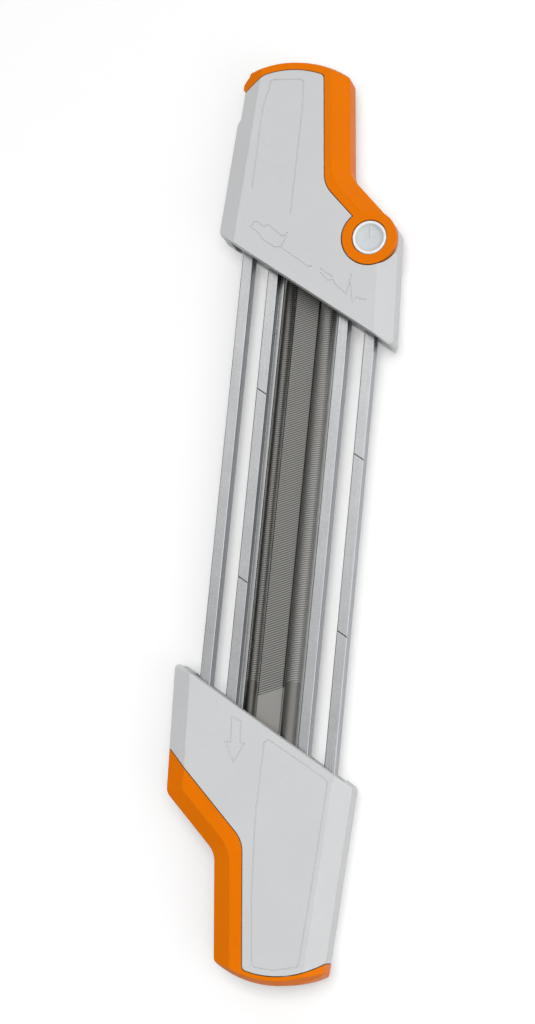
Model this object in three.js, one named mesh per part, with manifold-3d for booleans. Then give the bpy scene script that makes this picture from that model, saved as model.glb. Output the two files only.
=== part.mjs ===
// A chainsaw file guide: two plastic handles joined by four steel rails, with a flat file and
// two round files held between the rails. Lengths are millimetres and angles are degrees.
// +Y runs along the tool to the handle with the flap, and +Z points out of the front face.
import * as THREE from 'three';
import { mergeVertices, toCreasedNormals } from 'three/addons/utils/BufferGeometryUtils.js';
import Module from 'manifold-3d';

const wasm = await Module();
wasm.setup();

// The whole tool
const HANDLE_REACH = 158.2; // from the middle of the tool to the far end of each handle
const HALF_WIDTH = 32.4; // from the centre line to both ends of the slanted edge of a handle
const THICKNESS = 22;
const SEAM = 0.3; // gap left between neighbouring parts
const SLANT = 30; // slope of the handle edges that the rails enter
const UPPER_EDGE = 75.8; // slanted edge of the flap handle on the centre line
const LOWER_EDGE = 72.9; // slanted edge of the other handle on the centre line

// Outline shared by both handles, seen with the slanted edge at the bottom
const SIDE_LEAN = 3.6;
const NECK_LEAN = 5.6;
const NECK_INSET = 20.2;
const NECK_Y = 116.8;
const SHOULDER_INSET = 1.7; // the short side leans in by this much between toe and shoulder
const SHOULDER_Y = 98.5;
const END_RADIUS_EXTRA = 2.6; // the rounded end's radius is this much more than the half width
const END_CENTRE_INSET = 22.1; // from the long side
const HEEL_RADIUS = 2.5;
const TOE_RADIUS = 1.5;
const SHOULDER_RADIUS = 4;
const NECK_RADIUS = 8;
const END_CORNER_RADIUS = 3;

// Bevels on the front face
const SIDE_BEVEL = 6.2;
const NECK_BEVEL = 6;
const SHOULDER_BEVEL = 5.2;
const SLANT_BEVEL = 0.4;
const BEVEL_DEPTH = 2.8;

// Taper of the sides towards the back face
const BACK_TAPER = 2.6;
const BACK_SLANT_TAPER = 1.2;
const BACK_TAPER_DEPTH = 10;

// Bevels of the rounded end, front and back
const END_BEVEL = 1.6;
const END_BEVEL_DEPTH = 4.5;

// Coloured band around one side and the end of each handle
const UPPER_BAND_WIDTH = 8.6;
const LOWER_BAND_WIDTH = 10;
const UPPER_END_BAND = 4;
const LOWER_END_BAND = 2.9;
const BAND_NECK_RADIUS = 10;
const BAND_CORNER_RADIUS = 1.7;

// Hollow shells
const SIDE_WALL = 6.6;
const WALL = 2.4;
const FACE_WALL = 2.8;
const MOUTH_WALL = 4.6; // wall behind the slanted edge, measured along the tool
const MOUTH_HEEL_INSET = 3.9; // from the long side to the opening in the slanted edge
const MOUTH_TOE_INSET = 5.6; // and from the short side
const LIP_STEP = 0.4; // the back shell reaches this far past the front shell

// Flap and its pivot
const PIVOT_INSET = 11.1; // from the toe's side
const PIVOT_Y = 94.7;
const RING_RADIUS = 9.5;
const RING_RECESS_CLEARANCE = 0.45;
const TONGUE_RADIUS = 9.9;
const TONGUE_HALF = 7.3;
const FLAP_OPENING = 90;
const FLAP_CHANNEL_HALF = 6.2;
const FLAP_ROOT_RADIUS = 11.5;
const HUB_RADIUS = 5.9;
const HUB_SINK = 0.2;
const HUB_DISH_RADIUS = 4.7;
const HUB_DISH_DEPTH = 1.3;
const POINTER_WIDTH = 0.6;
const POINTER_HEIGHT = 0.4;
const PIN_RADIUS = 3;
const PIN_HALF_LENGTH = 8.2;

// Latch tab at the end of the flap: its tip and the corners of its outer side. Each is given by
// how far in from the long side and how far below the end it is.
const LATCH_TIP_INSET = 4.2;
const LATCH_TIP_DROP = 11.8;
const LATCH_SIDE = [[5.9, 4.1], [5.2, 6.5], [4.1, 8], [2.9, 10.2]];

// Finger recess beside the latch tab
const RECESS_LENGTH = 23.6;
const RECESS_RAMP = 1.9;
const RECESS_DEPTH = 1;

// Rails
const RAIL_WIDTH = 3.84;
const RAIL_HEIGHT = 5.6;
const RAIL_EDGE = 0.3;
const OUTER_RAIL_INSET = 9.5; // from the sides of the handles
const INNER_RAIL_X = 13.2;
const RAIL_EMBED = 11; // length held inside each handle
const RAIL_LIP_WIDTH = 1.5;
const RAIL_LIP_HEIGHT = 1.2;
const RAIL_LIP_EDGE = 0.7; // from the rail's face to the lip
const MARK_WIDTH = 0.35;
const MARK_DEPTH = 0.2;
const INNER_MARK_HIGH = 41.1;
const INNER_MARK_LOW = -24.5;
const OUTER_MARK_HIGH = 20;
const OUTER_MARK_LOW = -40.7;

// Files
const ROUND_FILE_X = 7.9;
const ROUND_FILE_RISE = 4.4; // above or below the middle plane
const ROUND_FILE_RADIUS = 2.6;
const ROUND_SHANK_RADIUS = 2.5;
const FILE_CHAMFER = 0.5;
const FLAT_FILE_WIDTH = 8.8;
const FLAT_FILE_HEIGHT = 4.3;
const FLAT_FILE_EDGE = 0.35;
const TOOTH_STEP = 0.12; // the plain shank is thinner by this on each face
const FILE_BUTT = 98; // from the middle of the tool to the held end
const FILE_TIP = 102;
const ROUND_TEETH_END = -58.2;
const FLAT_TEETH_LEFT = -62.9;
const FLAT_TEETH_RIGHT = -59.4;

// Blocks inside the handles that hold rails and files
const UPPER_BLOCK_END = 96;
const LOWER_BLOCK_END = 102;

// Shell screws, put in from the back
const SCREW_INSET = 15.4; // from the long side
const SCREW_NEAR_Y = 107;
const SCREW_FAR_DROP = 15.2; // from the end
const GRIP_SCREW_INSET = 14.4; // from the toe's side
const GRIP_SCREW_Y = 84;
const SCREW_RADIUS = 1.4;
const SCREW_TIP = 5.5;
const SCREW_HEAD_RADIUS = 2.7;
const SCREW_HEAD_HEIGHT = 2;
const SCREW_HEAD_SINK = 0.4;
const SCREW_BOSS_RADIUS = 3.6;
const SCREW_SOCKET_RADIUS = 1.3;
const SCREW_SOCKET_DEPTH = 1.1;

// Engraved lines on the front faces. Each line is a row of points in the tool's own frame.
const GROOVE_WIDTH = 0.45;
const GROOVE_DEPTH = 0.35;
const UPPER_PANEL = [
  [-21.8, 111], [-20.9, 139.2], [-18.8, 149.8], [-17, 150.3], [-8.4, 150.5], [-7.1, 149.6],
  [-6.6, 139.4], [-7.2, 102.2],
];
const SAW_UNDERSIDE = [
  [-20.3, 97.8], [-21, 97], [-17.5, 94.6], [-15.9, 92.5], [-11.3, 89.8], [-10, 90.4], [1, 83.5],
  [2, 83.8],
];
const SAW_TOP = [
  [-20.3, 97.8], [-19.6, 99], [-18.7, 98.9], [-16.2, 97.2], [-15.2, 97.9], [-14.2, 97.6],
  [-9.6, 94.1], [-8.6, 94.3], [-7.6, 95.4],
];
const SAW_NOSE = [[-7.8, 93.8], [-8.4, 92.7], [-9.3, 90.6]];
const CUTTER_BACK = [[5.6, 82.9], [6.7, 81.9], [9.7, 80.4]];
const CUTTER_EDGE = [
  [5.4, 81.5], [7.3, 79.8], [8.4, 78.9], [10.1, 79.3], [10.8, 77.8], [12.1, 76.8], [15.2, 74.2],
  [15.8, 79], [16.3, 81.1],
];
const CUTTER_TIP = [[16.2, 78], [17.5, 71.4], [18.1, 72.4], [19.1, 73.5], [20.2, 72.8], [21.9, 72.7]];
const LOWER_PANEL = [
  [1.8, -79.6], [3.1, -78.5], [23.2, -89.8], [24.4, -91], [24.2, -95], [22.4, -122.9],
  [20.4, -150.5], [19.8, -151.4], [11.9, -153.3], [5.4, -152.8], [4.7, -151.8], [2.6, -131.2],
  [1.3, -108.4], [1.3, -92], [1.8, -79.6],
];
const ARROW_SHAFT = [[-9.8, -80.2], [-10.2, -71.8], [-6.8, -73.2], [-6.6, -80.3]];
const ARROW_HEAD = [[-9.8, -80.2], [-11.6, -80.4], [-8.1, -86.8], [-5, -80.5], [-6.6, -80.3]];

// How finely curves are divided
const CORNER_STEPS = 6;
const CORNER_ROOM = 1.3; // room kept clear beside a rounded corner, in corner radii
const CHORD = 1; // usual length of one straight piece of a circle
const FEWEST_STEPS = 20;
const MOST_STEPS = 96;
const ARC_STEP = 3;
const SHARP = 0.1;
const STRAIGHT = 180;

// Values that follow from the sizes above
const HALF = THICKNESS / 2;
const CAVITY_HALF = HALF - FACE_WALL;
const LONG_SIDE_X = -HALF_WIDTH;
const END_RADIUS = HALF_WIDTH + END_RADIUS_EXTRA;
const FAR = HANDLE_REACH + HALF_WIDTH;
const RING_INNER = TONGUE_HALF + SEAM;
const PIVOT = new THREE.Vector2(HALF_WIDTH - PIVOT_INSET, PIVOT_Y);
const LATCH_TIP = new THREE.Vector2(LONG_SIDE_X + LATCH_TIP_INSET, HANDLE_REACH - LATCH_TIP_DROP);
const LATCH_SWEEP_RADIUS = LATCH_TIP.distanceTo(PIVOT);
const OUTER_RAIL_X = HALF_WIDTH - OUTER_RAIL_INSET;
const RAIL_HALF = RAIL_HEIGHT / 2;
const ORIGIN = new THREE.Vector2();

const radians = THREE.MathUtils.degToRad;
const slope = Math.tan(radians(SLANT));

const colours = {
  grey: { color: 0xc9cbcc, roughness: 0.5, metalness: 0 },
  orange: { color: 0xf07800, roughness: 0.45, metalness: 0 },
  hub: { color: 0xe1e6e8, roughness: 0.3, metalness: 0 },
  block: { color: 0x55585c, roughness: 0.6, metalness: 0 },
  rail: { color: 0xb8bcc0, roughness: 0.3, metalness: 1 },
  file: { color: 0x77797a, roughness: 0.45, metalness: 1 },
  screw: { color: 0x9a9da0, roughness: 0.35, metalness: 1 },
};

// Turns a closed geometry into a solid that can be joined and cut.
function toSolid(geometry) {
  const bare = geometry.clone();
  bare.deleteAttribute('normal');
  bare.deleteAttribute('uv');
  const merged = mergeVertices(bare);
  return new wasm.Manifold(new wasm.Mesh({
    numProp: 3,
    vertProperties: new Float32Array(merged.attributes.position.array),
    triVerts: new Uint32Array(merged.index.array),
  }));
}

// Makes a named mesh of a finished solid.
function toMesh(name, solid, look) {
  const data = solid.getMesh();
  const geometry = new THREE.BufferGeometry();
  geometry.setAttribute('position', new THREE.BufferAttribute(data.vertProperties, data.numProp));
  geometry.setIndex(new THREE.BufferAttribute(data.triVerts, 1));
  const mesh = new THREE.Mesh(toCreasedNormals(geometry), new THREE.MeshStandardMaterial(look));
  mesh.name = name;
  return mesh;
}

function corner(x, y, radius = 0) {
  return { x, y, radius };
}

function spot(at, radius = 0) {
  return corner(at.x, at.y, radius);
}

// The points of one rounded corner between its two neighbours.
function roundedCorner(before, here, after) {
  const at = new THREE.Vector2(here.x, here.y);
  if (here.radius === 0) return [at];
  const back = new THREE.Vector2(before.x, before.y).sub(at).normalize();
  const ahead = new THREE.Vector2(after.x, after.y).sub(at).normalize();
  const half = Math.acos(THREE.MathUtils.clamp(back.dot(ahead), -1, 1)) / 2;
  const turn = Math.sign(ahead.cross(back)) * (Math.PI - 2 * half);
  const bisector = back.clone().add(ahead).normalize();
  const centre = at.clone().addScaledVector(bisector, here.radius / Math.sin(half));
  const start = at.clone().addScaledVector(back, here.radius / Math.tan(half));
  const points = [];
  for (let step = 0; step <= CORNER_STEPS; step += 1) {
    points.push(start.clone().rotateAround(centre, (turn * step) / CORNER_STEPS));
  }
  return points;
}

// A closed path through corners that each have their own radius.
function roundedPath(corners) {
  const count = corners.length;
  return corners.flatMap((here, i) => roundedCorner(
    corners[(i + count - 1) % count],
    here,
    corners[(i + 1) % count],
  ));
}

// Where two lines cross, each given by a point and a direction.
function crossing(pointA, directionA, pointB, directionB) {
  const gap = pointB.clone().sub(pointA);
  const share = gap.cross(directionB) / directionA.cross(directionB);
  return pointA.clone().addScaledVector(directionA, share);
}

// Where a line leaves a circle.
function leavesCircle(from, direction, centre, radius) {
  const offset = from.clone().sub(centre);
  const along = offset.dot(direction);
  const reach = Math.sqrt(along ** 2 - offset.lengthSq() + radius ** 2) - along;
  return from.clone().addScaledVector(direction, reach);
}

// Moves every edge of a counterclockwise polygon inwards by its own inset.
function insetCorners(corners, insets) {
  const count = corners.length;
  const points = corners.map((one) => new THREE.Vector2(one.x, one.y));
  const edges = points.map((from, i) => {
    const direction = points[(i + 1) % count].clone().sub(from).normalize();
    const inward = new THREE.Vector2(-direction.y, direction.x);
    return { direction, start: from.clone().addScaledVector(inward, insets[i]) };
  });
  return corners.map((here, i) => {
    const last = (i + count - 1) % count;
    const before = edges[last];
    const after = edges[i];
    const turn = before.direction.cross(after.direction);
    const at = crossing(before.start, before.direction, after.start, after.direction);
    const inset = Math.max(insets[last], insets[i]);
    const radius = turn > 0 ? Math.max(here.radius - inset, SHARP) : here.radius + inset;
    return spot(at, here.radius === 0 ? 0 : radius);
  });
}

// A closed geometry through rings that have equal numbers of points.
function loft(rings) {
  const count = rings[0].path.length;
  const positions = rings.flatMap((ring) => ring.path.flatMap((at) => [at.x, at.y, ring.z]));
  const indices = [];
  const lastRing = (rings.length - 1) * count;
  THREE.ShapeUtils.triangulateShape(rings[0].path, []).forEach(([a, b, c]) => {
    indices.push(a, c, b);
  });
  THREE.ShapeUtils.triangulateShape(rings[rings.length - 1].path, []).forEach(([a, b, c]) => {
    indices.push(lastRing + a, lastRing + b, lastRing + c);
  });
  for (let ring = 0; ring < lastRing; ring += count) {
    for (let i = 0; i < count; i += 1) {
      const next = (i + 1) % count;
      indices.push(ring + i, ring + next, ring + count + next);
      indices.push(ring + i, ring + count + next, ring + count + i);
    }
  }
  const geometry = new THREE.BufferGeometry();
  geometry.setAttribute('position', new THREE.Float32BufferAttribute(positions, 3));
  geometry.setIndex(indices);
  return geometry;
}

// A flat plate with the given outline between two heights.
function plate(path, low, high) {
  return toSolid(loft([{ path, z: low }, { path, z: high }]));
}

// A circle whose number of points is a multiple of four, so that it keeps its full width.
function circle(centre, radius) {
  const quarter = Math.ceil((Math.PI * radius) / (2 * CHORD));
  const steps = THREE.MathUtils.clamp(4 * quarter, FEWEST_STEPS, MOST_STEPS);
  const points = [];
  for (let step = 0; step < steps; step += 1) {
    const angle = (2 * Math.PI * step) / steps;
    points.push(new THREE.Vector2(radius, 0).rotateAround(ORIGIN, angle).add(centre));
  }
  return points;
}

function disc(centre, radius, low, high) {
  return plate(circle(centre, radius), low, high);
}

function rectangle(left, right, bottom, top) {
  return [corner(left, bottom), corner(right, bottom), corner(right, top), corner(left, top)];
}

function block(left, right, bottom, top, low, high) {
  return plate(roundedPath(rectangle(left, right, bottom, top)), low, high);
}

// A bar along the tool. Each ring is a path across the tool, at a place along it.
function bar(rings) {
  const laid = rings.map((ring) => ({ path: ring.path, z: -ring.y })).reverse();
  return toSolid(loft(laid).rotateX(Math.PI / 2));
}

function union(solids) {
  return solids.reduce((sum, solid) => sum.add(solid));
}

function cutAll(solid, cutters) {
  return cutters.reduce((rest, cutter) => rest.subtract(cutter), solid);
}

// Height of the slanted edge at a place across the handle.
function slantedY(edge, x) {
  return edge - x * slope;
}

// A strip that follows the slanted edge, from one depth behind it to another.
function slantStrip(edge, left, right, from, to) {
  return [
    new THREE.Vector2(left, slantedY(edge, left) + from),
    new THREE.Vector2(right, slantedY(edge, right) + from),
    new THREE.Vector2(right, slantedY(edge, right) + to),
    new THREE.Vector2(left, slantedY(edge, left) + to),
  ];
}

const shoulder = new THREE.Vector2(HALF_WIDTH - SHOULDER_INSET, SHOULDER_Y);
const neck = new THREE.Vector2(HALF_WIDTH - NECK_INSET, NECK_Y);
const neckUp = new THREE.Vector2(0, 1).rotateAround(ORIGIN, radians(NECK_LEAN));
const sideUp = new THREE.Vector2(0, 1).rotateAround(ORIGIN, -radians(SIDE_LEAN));
const across = new THREE.Vector2(1, 0);
const alongTool = new THREE.Vector2(0, 1);
const beyondEnd = new THREE.Vector2(0, HANDLE_REACH + SIDE_WALL);
const alongShoulder = neck.clone().sub(shoulder).normalize();
const shoulderInward = new THREE.Vector2(-alongShoulder.y, alongShoulder.x);
const neckInward = new THREE.Vector2(-neckUp.y, neckUp.x);
const endCentre = new THREE.Vector2(LONG_SIDE_X + END_CENTRE_INSET, HANDLE_REACH - END_RADIUS);

// Points of the rounded end between two places, on the given radius. They leave room for the
// rounded corners at both places.
function endArc(radius, start, finish, cornerRadius) {
  const from = THREE.MathUtils.radToDeg(start.clone().sub(endCentre).angle());
  const to = THREE.MathUtils.radToDeg(finish.clone().sub(endCentre).angle());
  const room = cornerRadius * CORNER_ROOM;
  const points = [];
  for (let angle = 0; angle < to; angle += ARC_STEP) {
    const arm = new THREE.Vector2(radius, 0).rotateAround(ORIGIN, radians(angle));
    const at = arm.add(endCentre);
    const isClear = at.distanceTo(start) > room && at.distanceTo(finish) > room;
    if (angle > from && isClear) points.push(spot(at));
  }
  return points;
}

// The handle's outline, counterclockwise from the corner at the long side.
function outlineCorners(edge) {
  const heel = new THREE.Vector2(LONG_SIDE_X, slantedY(edge, LONG_SIDE_X));
  const endRight = leavesCircle(neck, neckUp, endCentre, END_RADIUS);
  const endLeft = leavesCircle(heel, sideUp, endCentre, END_RADIUS);
  return [
    spot(heel, HEEL_RADIUS),
    corner(HALF_WIDTH, slantedY(edge, HALF_WIDTH), TOE_RADIUS),
    spot(shoulder, SHOULDER_RADIUS),
    spot(neck, NECK_RADIUS),
    spot(endRight, END_CORNER_RADIUS),
    ...endArc(END_RADIUS, endRight, endLeft, END_CORNER_RADIUS),
    spot(endLeft, END_CORNER_RADIUS),
  ];
}

// Everything inside the bevels of the rounded end.
function endLimit() {
  const ring = (radius, z) => {
    const path = [corner(-FAR, -FAR), corner(FAR, -FAR), corner(FAR, endCentre.y)];
    for (let angle = 0; angle <= STRAIGHT; angle += ARC_STEP) {
      const arm = new THREE.Vector2(radius, 0).rotateAround(ORIGIN, radians(angle));
      path.push(spot(arm.add(endCentre)));
    }
    path.push(corner(-FAR, endCentre.y));
    return { path: roundedPath(path), z };
  };
  const narrow = END_RADIUS - END_BEVEL;
  const middle = narrow + (END_BEVEL * HALF) / END_BEVEL_DEPTH;
  return toSolid(loft([ring(narrow, -HALF), ring(middle, 0), ring(narrow, HALF)]));
}

// The solid handle with its bevelled sides and end.
function handleBlank(edge) {
  const heel = new THREE.Vector2(LONG_SIDE_X, slantedY(edge, LONG_SIDE_X));
  const corners = [
    spot(heel, HEEL_RADIUS),
    corner(HALF_WIDTH, slantedY(edge, HALF_WIDTH), TOE_RADIUS),
    spot(shoulder, SHOULDER_RADIUS),
    spot(neck, NECK_RADIUS),
    spot(crossing(neck, neckUp, beyondEnd, across)),
    spot(crossing(heel, sideUp, beyondEnd, across)),
  ];
  const taper = [BACK_SLANT_TAPER, BACK_TAPER, BACK_TAPER, BACK_TAPER, 0, BACK_TAPER];
  const bevel = [SLANT_BEVEL, SIDE_BEVEL, SHOULDER_BEVEL, NECK_BEVEL, 0, SIDE_BEVEL];
  const wide = roundedPath(corners);
  const bevelled = toSolid(loft([
    { path: roundedPath(insetCorners(corners, taper)), z: -HALF },
    { path: wide, z: BACK_TAPER_DEPTH - HALF },
    { path: wide, z: HALF - BEVEL_DEPTH },
    { path: roundedPath(insetCorners(corners, bevel)), z: HALF },
  ]));
  const outline = plate(roundedPath(outlineCorners(edge)), -HALF, HALF);
  return bevelled.intersect(outline).intersect(endLimit());
}

// Corners of a line inside the outline, from the shoulder over the end to past the long side.
function bandLine(sideInset, endInset, neckRadius, cornerRadius) {
  const shoulderStart = shoulder.clone().addScaledVector(shoulderInward, sideInset);
  const neckStart = neck.clone().addScaledVector(neckInward, sideInset);
  const neckInner = crossing(shoulderStart, alongShoulder, neckStart, neckUp);
  const radius = END_RADIUS - endInset;
  const endRight = leavesCircle(neckInner, neckUp, endCentre, radius);
  const pastSide = endCentre.clone().sub(new THREE.Vector2(radius, -radius).multiplyScalar(Math.SQRT1_2));
  return {
    shoulderStart,
    corners: [
      spot(neckInner, neckRadius),
      spot(endRight, cornerRadius),
      ...endArc(radius, endRight, pastSide, cornerRadius),
      spot(pastSide),
    ],
  };
}

// The area inside such a line, without an outer limit on the other sides.
function areaInside(line, right) {
  const last = line.corners[line.corners.length - 1];
  return roundedPath([
    corner(-FAR, -FAR),
    corner(FAR, -FAR),
    ...right,
    ...line.corners,
    corner(-FAR, last.y),
  ]);
}

// Where the shoulder line of such a line reaches a place across the handle.
function shoulderLineAt(line, x) {
  return crossing(line.shoulderStart, alongShoulder, new THREE.Vector2(x, 0), alongTool);
}

// The area inside the band. In the upper handle it also goes up beside the pivot's far half.
function bodyArea(clearance, isUpper) {
  const line = bandLine(
    (isUpper ? UPPER_BAND_WIDTH : LOWER_BAND_WIDTH) + clearance,
    (isUpper ? UPPER_END_BAND : LOWER_END_BAND) + clearance,
    BAND_NECK_RADIUS + clearance,
    BAND_CORNER_RADIUS,
  );
  const besidePivot = [corner(FAR, PIVOT.y), spot(shoulderLineAt(line, PIVOT.x))];
  return areaInside(line, isUpper ? besidePivot : [spot(shoulderLineAt(line, FAR))]);
}

// The space that the latch tab leaves free: a circle about the pivot, and all beyond its tip.
function latchLimit(clearance) {
  const outward = LATCH_TIP.clone().sub(PIVOT).normalize();
  const beyond = new THREE.Vector2(-outward.y, outward.x);
  const start = PIVOT.clone().addScaledVector(beyond, clearance);
  const behindTip = plate([
    start,
    start.clone().addScaledVector(outward, FAR),
    start.clone().addScaledVector(beyond, FAR),
  ], -FAR, FAR);
  return disc(PIVOT, LATCH_SWEEP_RADIUS - clearance, -FAR, FAR).add(behindTip);
}

// The area that the flap's neck takes beside the pivot when the flap is fully open.
function openNeckArea(clearance) {
  const outward = shoulderInward.clone().negate();
  const reach = shoulder.clone().sub(PIVOT).dot(outward) + clearance;
  const neckAlong = alongShoulder.clone().rotateAround(ORIGIN, -radians(FLAP_OPENING));
  const neckOutward = outward.rotateAround(ORIGIN, -radians(FLAP_OPENING));
  const foot = PIVOT.clone().addScaledVector(neckOutward, reach);
  return [
    PIVOT,
    foot,
    foot.clone().addScaledVector(neckAlong, FAR),
    PIVOT.clone().addScaledVector(neckAlong, FAR),
  ];
}

function bodyPlate(clearance, isUpper) {
  const inside = plate(bodyArea(clearance, isUpper), -FAR, FAR);
  return isUpper ? inside.intersect(latchLimit(clearance)) : inside;
}

// The hollow inside a handle, made smaller all round by the clearance.
function cavityArea(isUpper, clearance) {
  const edge = isUpper ? UPPER_EDGE : LOWER_EDGE;
  const endBand = isUpper ? UPPER_END_BAND : LOWER_END_BAND;
  const side = HALF_WIDTH - SIDE_WALL - clearance;
  const behind = MOUTH_WALL + clearance;
  const gap = SEAM + WALL + clearance;
  const inset = (isUpper ? UPPER_BAND_WIDTH : LOWER_BAND_WIDTH) + gap;
  const endInset = endBand + gap;
  const line = bandLine(inset, endInset, BAND_NECK_RADIUS + gap, BAND_CORNER_RADIUS);
  const rightTop = shoulderLineAt(line, side);
  const heel = new THREE.Vector2(-side, slantedY(edge, -side) + behind);
  const leftTop = leavesCircle(heel, sideUp, endCentre, END_RADIUS - endInset);
  const kept = line.corners.filter((one) => one.x > leftTop.x);
  return roundedPath([
    spot(heel),
    corner(side, slantedY(edge, side) + behind),
    spot(rightTop),
    ...kept,
    spot(leftTop),
  ]);
}

function screwPlaces(isUpper) {
  const places = [
    new THREE.Vector2(LONG_SIDE_X + SCREW_INSET, SCREW_NEAR_Y),
    new THREE.Vector2(LONG_SIDE_X + SCREW_INSET, HANDLE_REACH - SCREW_FAR_DROP),
  ];
  if (!isUpper) places.push(new THREE.Vector2(HALF_WIDTH - GRIP_SCREW_INSET, GRIP_SCREW_Y));
  return places;
}

// Open lanes for the three files, from the middle of the tool to the given depth.
function fileLanes(isUpper, depth) {
  const side = isUpper ? 1 : -1;
  const lane = ROUND_FILE_RADIUS + SEAM / 2;
  const round = (x, z) => {
    const path = circle(new THREE.Vector2(x, z), lane);
    return bar([{ path, y: 0 }, { path, y: depth }]);
  };
  const flatX = FLAT_FILE_WIDTH / 2 + SEAM;
  const flatZ = FLAT_FILE_HEIGHT / 2 + SEAM;
  return [
    round(-ROUND_FILE_X * side, -ROUND_FILE_RISE),
    round(ROUND_FILE_X * side, ROUND_FILE_RISE),
    block(-flatX, flatX, 0, depth, -flatZ, flatZ),
  ];
}

// Pockets for the rail ends, with the lips of the inner rails.
function railPockets(edge) {
  const half = RAIL_WIDTH / 2 + SEAM;
  const high = RAIL_HALF + SEAM;
  return [-OUTER_RAIL_X, -INNER_RAIL_X, INNER_RAIL_X, OUTER_RAIL_X].map((x) => {
    const lip = Math.abs(x) === INNER_RAIL_X ? RAIL_LIP_WIDTH : 0;
    const left = x > 0 ? x - half - lip : x - half;
    const right = x > 0 ? x + half : x + half + lip;
    const end = slantedY(edge, x) + RAIL_EMBED + SEAM;
    return block(left, right, 0, end, -high, high);
  });
}

// Pillars between front and back for the screws.
function screwPillars(isUpper, radius) {
  return screwPlaces(isUpper).map((at) => disc(at, radius, -HALF, HALF));
}

// Holes for the screws: a bore through the pillar and a deeper seat for the head.
function screwHoles(isUpper) {
  const seat = SCREW_HEAD_HEIGHT + SCREW_HEAD_SINK + SEAM;
  return screwPlaces(isUpper).flatMap((at) => [
    disc(at, SCREW_RADIUS + SEAM / 2, -FAR, SCREW_TIP + SEAM),
    disc(at, SCREW_HEAD_RADIUS + SEAM, -FAR, seat - HALF),
  ]);
}

// Shallow recess for a finger on the long side, next to the latch tab.
function fingerRecess() {
  const heel = new THREE.Vector2(LONG_SIDE_X, slantedY(UPPER_EDGE, LONG_SIDE_X));
  const start = HANDLE_REACH - RECESS_LENGTH;
  const sideAt = (y, inward) => {
    const foot = crossing(heel, sideUp, new THREE.Vector2(0, y), across);
    return new THREE.Vector2(foot.x + inward, y);
  };
  return plate([
    sideAt(start, 0),
    sideAt(start + RECESS_RAMP, RECESS_DEPTH),
    sideAt(HANDLE_REACH, RECESS_DEPTH),
    sideAt(HANDLE_REACH, -SIDE_WALL),
    sideAt(start, -SIDE_WALL),
  ], -FAR, FAR);
}

// The body of a handle before it is split into its two shells.
function handleBody(isUpper, edge) {
  const rimEdge = isUpper ? UPPER_EDGE : LOWER_EDGE;
  const laneDepth = isUpper ? FAR : FILE_BUTT + SEAM;
  const pillars = union(screwPillars(isUpper, SCREW_BOSS_RADIUS));
  let cavity = plate(cavityArea(isUpper, 0), -CAVITY_HALF, CAVITY_HALF).subtract(pillars);
  const blank = handleBlank(edge);
  let body = blank.intersect(bodyPlate(SEAM, isUpper));
  if (isUpper) {
    const recess = RING_RADIUS + RING_RECESS_CLEARANCE;
    const openNeck = openNeckArea(SEAM);
    cavity = cavity.subtract(disc(PIVOT, recess + WALL, -FAR, FAR));
    body = body.add(disc(PIVOT, TONGUE_RADIUS, -TONGUE_HALF, TONGUE_HALF).intersect(blank));
    body = cutAll(body, [
      disc(PIVOT, recess, TONGUE_HALF, FAR),
      disc(PIVOT, recess, -FAR, -TONGUE_HALF),
      plate(openNeck, TONGUE_HALF, FAR),
      plate(openNeck, -FAR, -TONGUE_HALF),
      disc(PIVOT, PIN_RADIUS + SEAM / 2, -FAR, FAR),
      fingerRecess(),
    ]);
  }
  const mouth = plate(slantStrip(
    rimEdge,
    LONG_SIDE_X + MOUTH_HEEL_INSET,
    HALF_WIDTH - MOUTH_TOE_INSET,
    -MOUTH_WALL,
    MOUTH_WALL + SEAM,
  ), -CAVITY_HALF, CAVITY_HALF);
  const lanes = fileLanes(isUpper, laneDepth);
  return cutAll(body, [cavity, mouth, ...lanes, ...railPockets(rimEdge), ...screwHoles(isUpper)]);
}

function frontHalf(solid) {
  return solid.intersect(block(-FAR, FAR, -FAR, FAR, SEAM / 2, FAR));
}

function backHalf(solid) {
  return solid.intersect(block(-FAR, FAR, -FAR, FAR, -FAR, -SEAM / 2));
}

// The block inside a handle that holds the rail ends and guides the files.
function guideBlock(isUpper) {
  const edge = isUpper ? UPPER_EDGE : LOWER_EDGE;
  const end = isUpper ? UPPER_BLOCK_END : LOWER_BLOCK_END;
  const high = CAVITY_HALF - SEAM;
  const keepClear = screwPillars(isUpper, SCREW_BOSS_RADIUS + SEAM);
  if (isUpper) {
    const boss = RING_RADIUS + RING_RECESS_CLEARANCE + WALL + SEAM;
    keepClear.push(disc(PIVOT, boss, -FAR, FAR));
  }
  const whole = plate(cavityArea(isUpper, SEAM), -high, high);
  const short = whole.intersect(block(-FAR, FAR, 0, end, -FAR, FAR));
  const laneDepth = isUpper ? FAR : FILE_BUTT + SEAM;
  return cutAll(short, [...keepClear, ...fileLanes(isUpper, laneDepth), ...railPockets(edge)]);
}

// Cutters for an engraved line on the front face, one for each straight piece. The side is -1 for
// a handle that is drawn turned round.
function grooves(line, side) {
  const points = line.map(([x, y]) => new THREE.Vector2(x, y).multiplyScalar(side));
  return points.slice(1).map((end, i) => {
    const start = points[i];
    const along = end.clone().sub(start).normalize().multiplyScalar(GROOVE_WIDTH / 2);
    const across = new THREE.Vector2(-along.y, along.x);
    const path = [
      start.clone().sub(along).sub(across),
      end.clone().add(along).sub(across),
      end.clone().add(along).add(across),
      start.clone().sub(along).add(across),
    ];
    return plate(path, HALF - GROOVE_DEPTH, HALF + GROOVE_DEPTH);
  });
}

function engraved(solid, lines, side) {
  return cutAll(solid, lines.flatMap((line) => grooves(line, side)));
}

// Turns a solid half a turn about the axis that points out of the front face.
function turned(mesh) {
  mesh.geometry.rotateZ(Math.PI);
  return mesh;
}

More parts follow.
